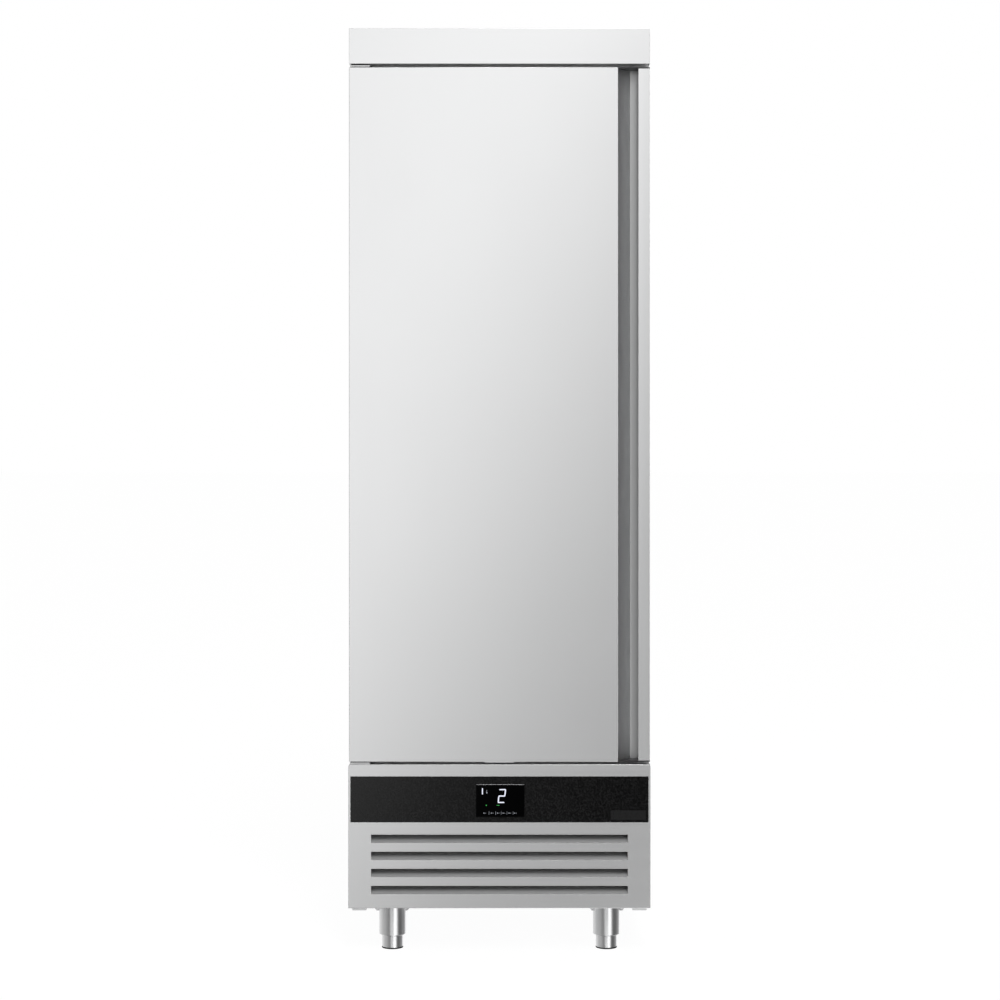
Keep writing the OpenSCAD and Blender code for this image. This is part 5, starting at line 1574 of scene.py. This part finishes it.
    def motor(self) -> None:
        """Builds the fan motor on its post and foot plate."""
        bm = bmesh.new()
        low, high = [Vector(corner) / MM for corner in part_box("condenser_motor")]
        s, r, (tip, front, end) = self.shaft_r, self.motor_r, (low.y, self.motor_y, high.y)
        add_turned(bm, [(0, tip), (s - 0.6, tip), (s, tip + 0.6), (s, front), (16, front + 1),
                        (18, front + 2.2), (r - 4, front + 2.2), (r, front + 6), (r, front + 26),
                        (r - 1, front + 27), (r - 1, front + 37), (r, front + 38), (r, end + 4),
                        (r - 4, end), (0, end)], mm(self.fan_x, 0, self.fan_z), Y, 72)
        x, y = self.fan_x, (end - 200) / 2
        for half_w, half_d, top in (self.post, (*self.foot[:2], self.deck + self.foot[2])):
            add_rounded_box(bm, (x - half_w, y - half_d, self.deck), (x + half_w, y + half_d, top), 0.8)
        place("condenser_fan_motor", bm, MOTOR_PAINT, "condenser_motor")

    def compressor(self) -> None:
        """Builds the compressor: a domed shell with its weld seam, foot plate and stubs."""
        bm = bmesh.new()
        x, y, z = self.comp
        r, h, b = self.comp_r, self.comp_h, self.comp_r * self.shoulder
        seam, foot = h * self.seam, 2.0

        def dome(centre_z: float, start: float, end: float) -> list:
            """Returns points round a dome's shoulder between two angles."""
            return [(r - b + b * math.cos(math.radians(a)), centre_z + b * math.sin(math.radians(a)))
                    for a in (start + (end - start) * k / 8 for k in range(9))]

        outline = [(0, foot), *dome(foot + b, -90, 0), (r, seam - 2), (r + 1.2, seam - 1.2),
                   (r + 1.6, seam + 1), (r + 1.2, seam + 3.2), (r - 0.4, seam + 4),
                   *dome(foot + h - b, 0, 90), (0, foot + h)]
        add_turned(bm, outline, mm(x, y, z), steps=96)
        length, width, height = self.base
        add_rounded_box(bm, (x - length, y - width, z), (x + length, y + width, z + height),
                        self.base_corner, 6, Z)
        place("compressor_shell", bm, SHELL_PAINT, "compressor")
        bm = bmesh.new()
        low, top, s = z + h - 38, z + h + self.stub_h, self.stub_r
        for side in (-self.stub_x, self.stub_x):
            add_turned(bm, [(0, low), (s, low), (s, top - 1), (s - 0.5, top), (0, top)],
                       mm(x + side, y - b, 0), steps=24)
        place("compressor_stubs", bm, COPPER, body="cabinet", slot="copper")

    def pipes(self) -> None:
        """Builds the copper pipes with their filter drier."""
        bm = bmesh.new()
        x, y, z = self.comp
        bend, length, r = self.pipe_bend, self.drier_l, self.drier_r
        stub_y, stub_z = y - self.comp_r * self.shoulder, z + self.comp_h + self.stub_h - 0.5
        port_x, port_y = self.coil_x[0] - self.port, sum(self.coil_y) / 2
        low, up = self.deck + self.port_inset, self.deck + self.coil_h - self.port_inset
        high = max(stub_z + 45.5, up + 3 * bend)
        hot, liquid, suction = x + self.stub_x, x + self.stub_x / 2, x - self.stub_x
        drier, (liquid_z, suction_z), into = low + 3 * bend, self.air_unit_z, self.air_unit_y
        add_tube(bm, [mm(hot, stub_y, stub_z), mm(hot, stub_y, high), mm(hot, port_y, high),
                      mm(hot, port_y, up), mm(port_x, port_y, up)], self.liquid_r, bend)
        add_tube(bm, [mm(port_x, port_y, low), mm(liquid, port_y, low), mm(liquid, port_y, drier)],
                 self.liquid_r, bend)
        add_turned(bm, [(0, 0), (3.6, 0), (4.2, 3), (r - 1.5, 12), (r, 17), (r, length - 17),
                        (r - 1.5, length - 12), (4.2, length - 3), (3.6, length), (0, length)],
                   mm(liquid, port_y, drier), steps=40)
        add_tube(bm, [mm(liquid, port_y, drier + length), mm(liquid, port_y, high + 20),
                      mm(liquid, self.pipe_y, high + 20), mm(liquid, self.pipe_y, liquid_z),
                      mm(liquid, into, liquid_z)], self.liquid_r, bend)
        add_tube(bm, [mm(suction, stub_y, stub_z), mm(suction, stub_y, high),
                      mm(suction, self.pipe_y, high), mm(suction, self.pipe_y, suction_z),
                      mm(suction, into, suction_z)], self.suction_r, bend, 20)
        place("refrigerant_pipes", bm, COPPER, "copper_pipes")


@dataclass(frozen=True)
class Softbox:
    """A large soft light that the camera doesn't see."""

    name: str
    at: tuple[float, float, float]
    towards: tuple[float, float, float]
    size: tuple[float, float]
    power: float

    def build(self) -> None:
        """Adds the light to the scene."""
        data = bpy.data.lights.new(self.name, "AREA")
        data.shape = "RECTANGLE"
        data.size, data.size_y = self.size
        data.energy = self.power
        lamp = bpy.data.objects.new(self.name, data)
        lamp.location = self.at
        lamp.rotation_euler = (Vector(self.towards) - Vector(self.at)).to_track_quat("-Z", "Y").to_euler()
        lamp.visible_camera = False
        bpy.context.scene.collection.objects.link(lamp)


@dataclass
class Studio:
    """The camera, the lights, the surroundings and the pale floor, in metres."""

    camera_at: tuple[float, float, float] = (0.0013, -5.707, 1.1855)
    lens: float = 84.5
    sensor: float = 36.0
    shift: float = -0.07
    sight: float = 200.0
    room_slant: tuple[float, float, float] = (2.0, 0.0, -1.0)  # the way in which the room's tones run
    room: tuple[tuple[float, float], ...] = (
        (-1.9, 1.1), (-0.6, 1.1), (-0.36, 1.18), (-0.24, 1.34), (-0.16, 1.62), (-0.08, 1.74),
        (0.0, 1.40), (0.08, 0.52), (0.16, 0.12), (0.24, 0.03), (0.36, 0.14), (0.6, 0.7), (0.85, 1.5),
        (1.15, 1.5), (1.5, 0.75), (1.85, 0.4), (2.15, 0.95), (2.3, 1.0))
    ring: tuple[tuple[float, float], ...] = (  # tones by heading in degrees
        (-90, 0.55), (-62, 0.45), (-45, 0.33), (-24, 0.23), (-10, 0.9), (0, 1.0), (9, 1.05), (22, 1.5),
        (39, 1.45), (52, 0.5), (64, 0.2), (90, 0.18), (104, 0.32), (118, 0.6), (135, 0.9),
        (180, 0.85), (235, 0.8), (270, 0.55))
    overhead: float = 0.5  # how dim the room is high up
    overhead_z: tuple[float, float] = (0.2, 0.5)  # rise of a direction where it starts and where it ends
    room_strength: float = 2.0
    floor_size: float = 60.0
    floor_tones: tuple[float, float] = (0.70, 0.72)
    floor_glow: float = 1.17
    floor_share: float = 0.80  # how much of the floor that the camera sees is plain white
    lights: tuple[Softbox, ...] = (
        Softbox("key_light", (0.9, -6.1, 6.9), (0.0, -0.4, 0.0), (1.5, 4.5), 140.0),)

    def build(self) -> None:
        """Builds the studio."""
        scene = bpy.context.scene
        data = bpy.data.cameras.new("camera")
        data.lens, data.sensor_width, data.shift_y = self.lens, self.sensor, self.shift
        data.clip_end = self.sight
        camera = bpy.data.objects.new("camera", data)
        camera.location = self.camera_at
        camera.rotation_euler = (math.pi / 2, 0, 0)
        scene.collection.objects.link(camera)
        scene.camera = camera
        scene.view_settings.view_transform = "Standard"
        for light in self.lights:
            light.build()
        self.surroundings()
        self.floor()

    def surroundings(self) -> None:
        """Makes the world: white to the camera, and a room with its own tones to the cabinet."""
        world = bpy.data.worlds.new("studio")
        bpy.context.scene.world = world
        world.use_nodes = True
        wire = Wiring(world.node_tree)
        direction = wire.add("TexCoord").outputs["Generated"]
        slant = wire.add("VectorMath", {0: direction, 1: self.room_slant},
                         operation="DOT_PRODUCT").outputs["Value"]
        low, high = self.room[0][0], self.room[-1][0]
        share = wire.add("MapRange", {"Value": slant, "From Min": low, "From Max": high}).outputs[0]
        tones = [(at, tone / self.room_strength) for at, tone in self.room]
        by_slant = self.ramp(wire, share, tones)
        heading = wire.add("TexGradient", {"Vector": direction}, gradient_type="RADIAL").outputs[1]
        by_heading = self.ramp(wire, heading, self.ring)
        height = wire.add("SeparateXYZ", {0: direction}).outputs[2]
        start, end = self.overhead_z
        dim = wire.add("MapRange", {"Value": height, "From Min": start, "From Max": end, "To Min": 1.0,
                                    "To Max": self.overhead}).outputs[0]
        both = wire.math("MULTIPLY", wire.math("MULTIPLY", by_slant, by_heading), dim)
        lit = wire.add("Background", {"Color": both, "Strength": self.room_strength}).outputs[0]
        white = wire.add("Background", {"Color": (1, 1, 1, 1), "Strength": 1.0}).outputs[0]
        seen = wire.add("LightPath").outputs["Is Camera Ray"]
        mixed = wire.add("MixShader", {0: seen, 1: lit, 2: white}).outputs[0]
        wire.add("OutputWorld", {"Surface": mixed})

    @staticmethod
    def ramp(wire: Wiring, share: bpy.types.NodeSocket,
             tones: Sequence[tuple[float, float]]) -> bpy.types.NodeSocket:
        """Adds a ramp of greys.

        Args:
            wire: Tree that it is added to.
            share: Socket that runs from 0 at the first tone to 1 at the last.
            tones: Places and tones, in order.

        Returns:
            The socket with the grey.
        """
        node = wire.add("ValToRGB", {0: share})
        stops = node.color_ramp.elements
        while len(stops) > 1:
            stops.remove(stops[-1])
        low, high = tones[0][0], tones[-1][0]
        for number, (at, tone) in enumerate(tones):
            stop = stops.new((at - low) / (high - low)) if number else stops[0]
            stop.position = (at - low) / (high - low)
            stop.color = (tone, tone, tone, 1)
        return node.outputs[0]

    def floor(self) -> None:
        """Makes a wide pale floor that fades into the background."""
        bm = bmesh.new()
        bmesh.ops.create_grid(bm, x_segments=2, y_segments=2, size=self.floor_size)
        mesh = bpy.data.meshes.new("floor")
        bm.to_mesh(mesh)
        bm.free()
        mesh.materials.append(self.floor_material())
        floor = bpy.data.objects.new("floor", mesh)
        floor.visible_glossy = False
        bpy.context.scene.collection.objects.link(floor)

    def floor_material(self) -> bpy.types.Material:
        """Builds the floor's material.

        Returns:
            The material.
        """
        pale = bpy.data.materials.new("pale_floor")
        pale.use_nodes = True
        wire = Wiring(pale.node_tree)
        at = wire.add("TexCoord").outputs["Object"]
        cloud = wire.add("Group", {"Vector": at, "Scale": 0.8}, node_tree=CLOUD).outputs[0]
        tone = wire.mix(cloud, *((tone, tone, tone, 1) for tone in self.floor_tones))
        matt = wire.add("BsdfDiffuse", {"Color": tone}).outputs[0]
        white = wire.add("Emission", {"Color": (1, 1, 1, 1), "Strength": self.floor_glow}).outputs[0]
        seen = wire.add("LightPath").outputs["Is Camera Ray"]
        share = wire.math("MULTIPLY", seen, self.floor_share)
        mixed = wire.add("MixShader", {0: share, 1: matt, 2: white}).outputs[0]
        wire.add("OutputMaterial", {"Surface": mixed})
        return pale


def main() -> None:
    """Builds the studio and then the cabinet, sub-assembly by sub-assembly."""
    Studio().build()
    for part in (Shell(), Door(), BaseFront(), Legs(), Fasteners(), Interior(), AirUnit(),
                 CondensingUnit()):
        part.build()
        log.info("%s is built", type(part).__name__)


if __name__ == "__main__":
    main()
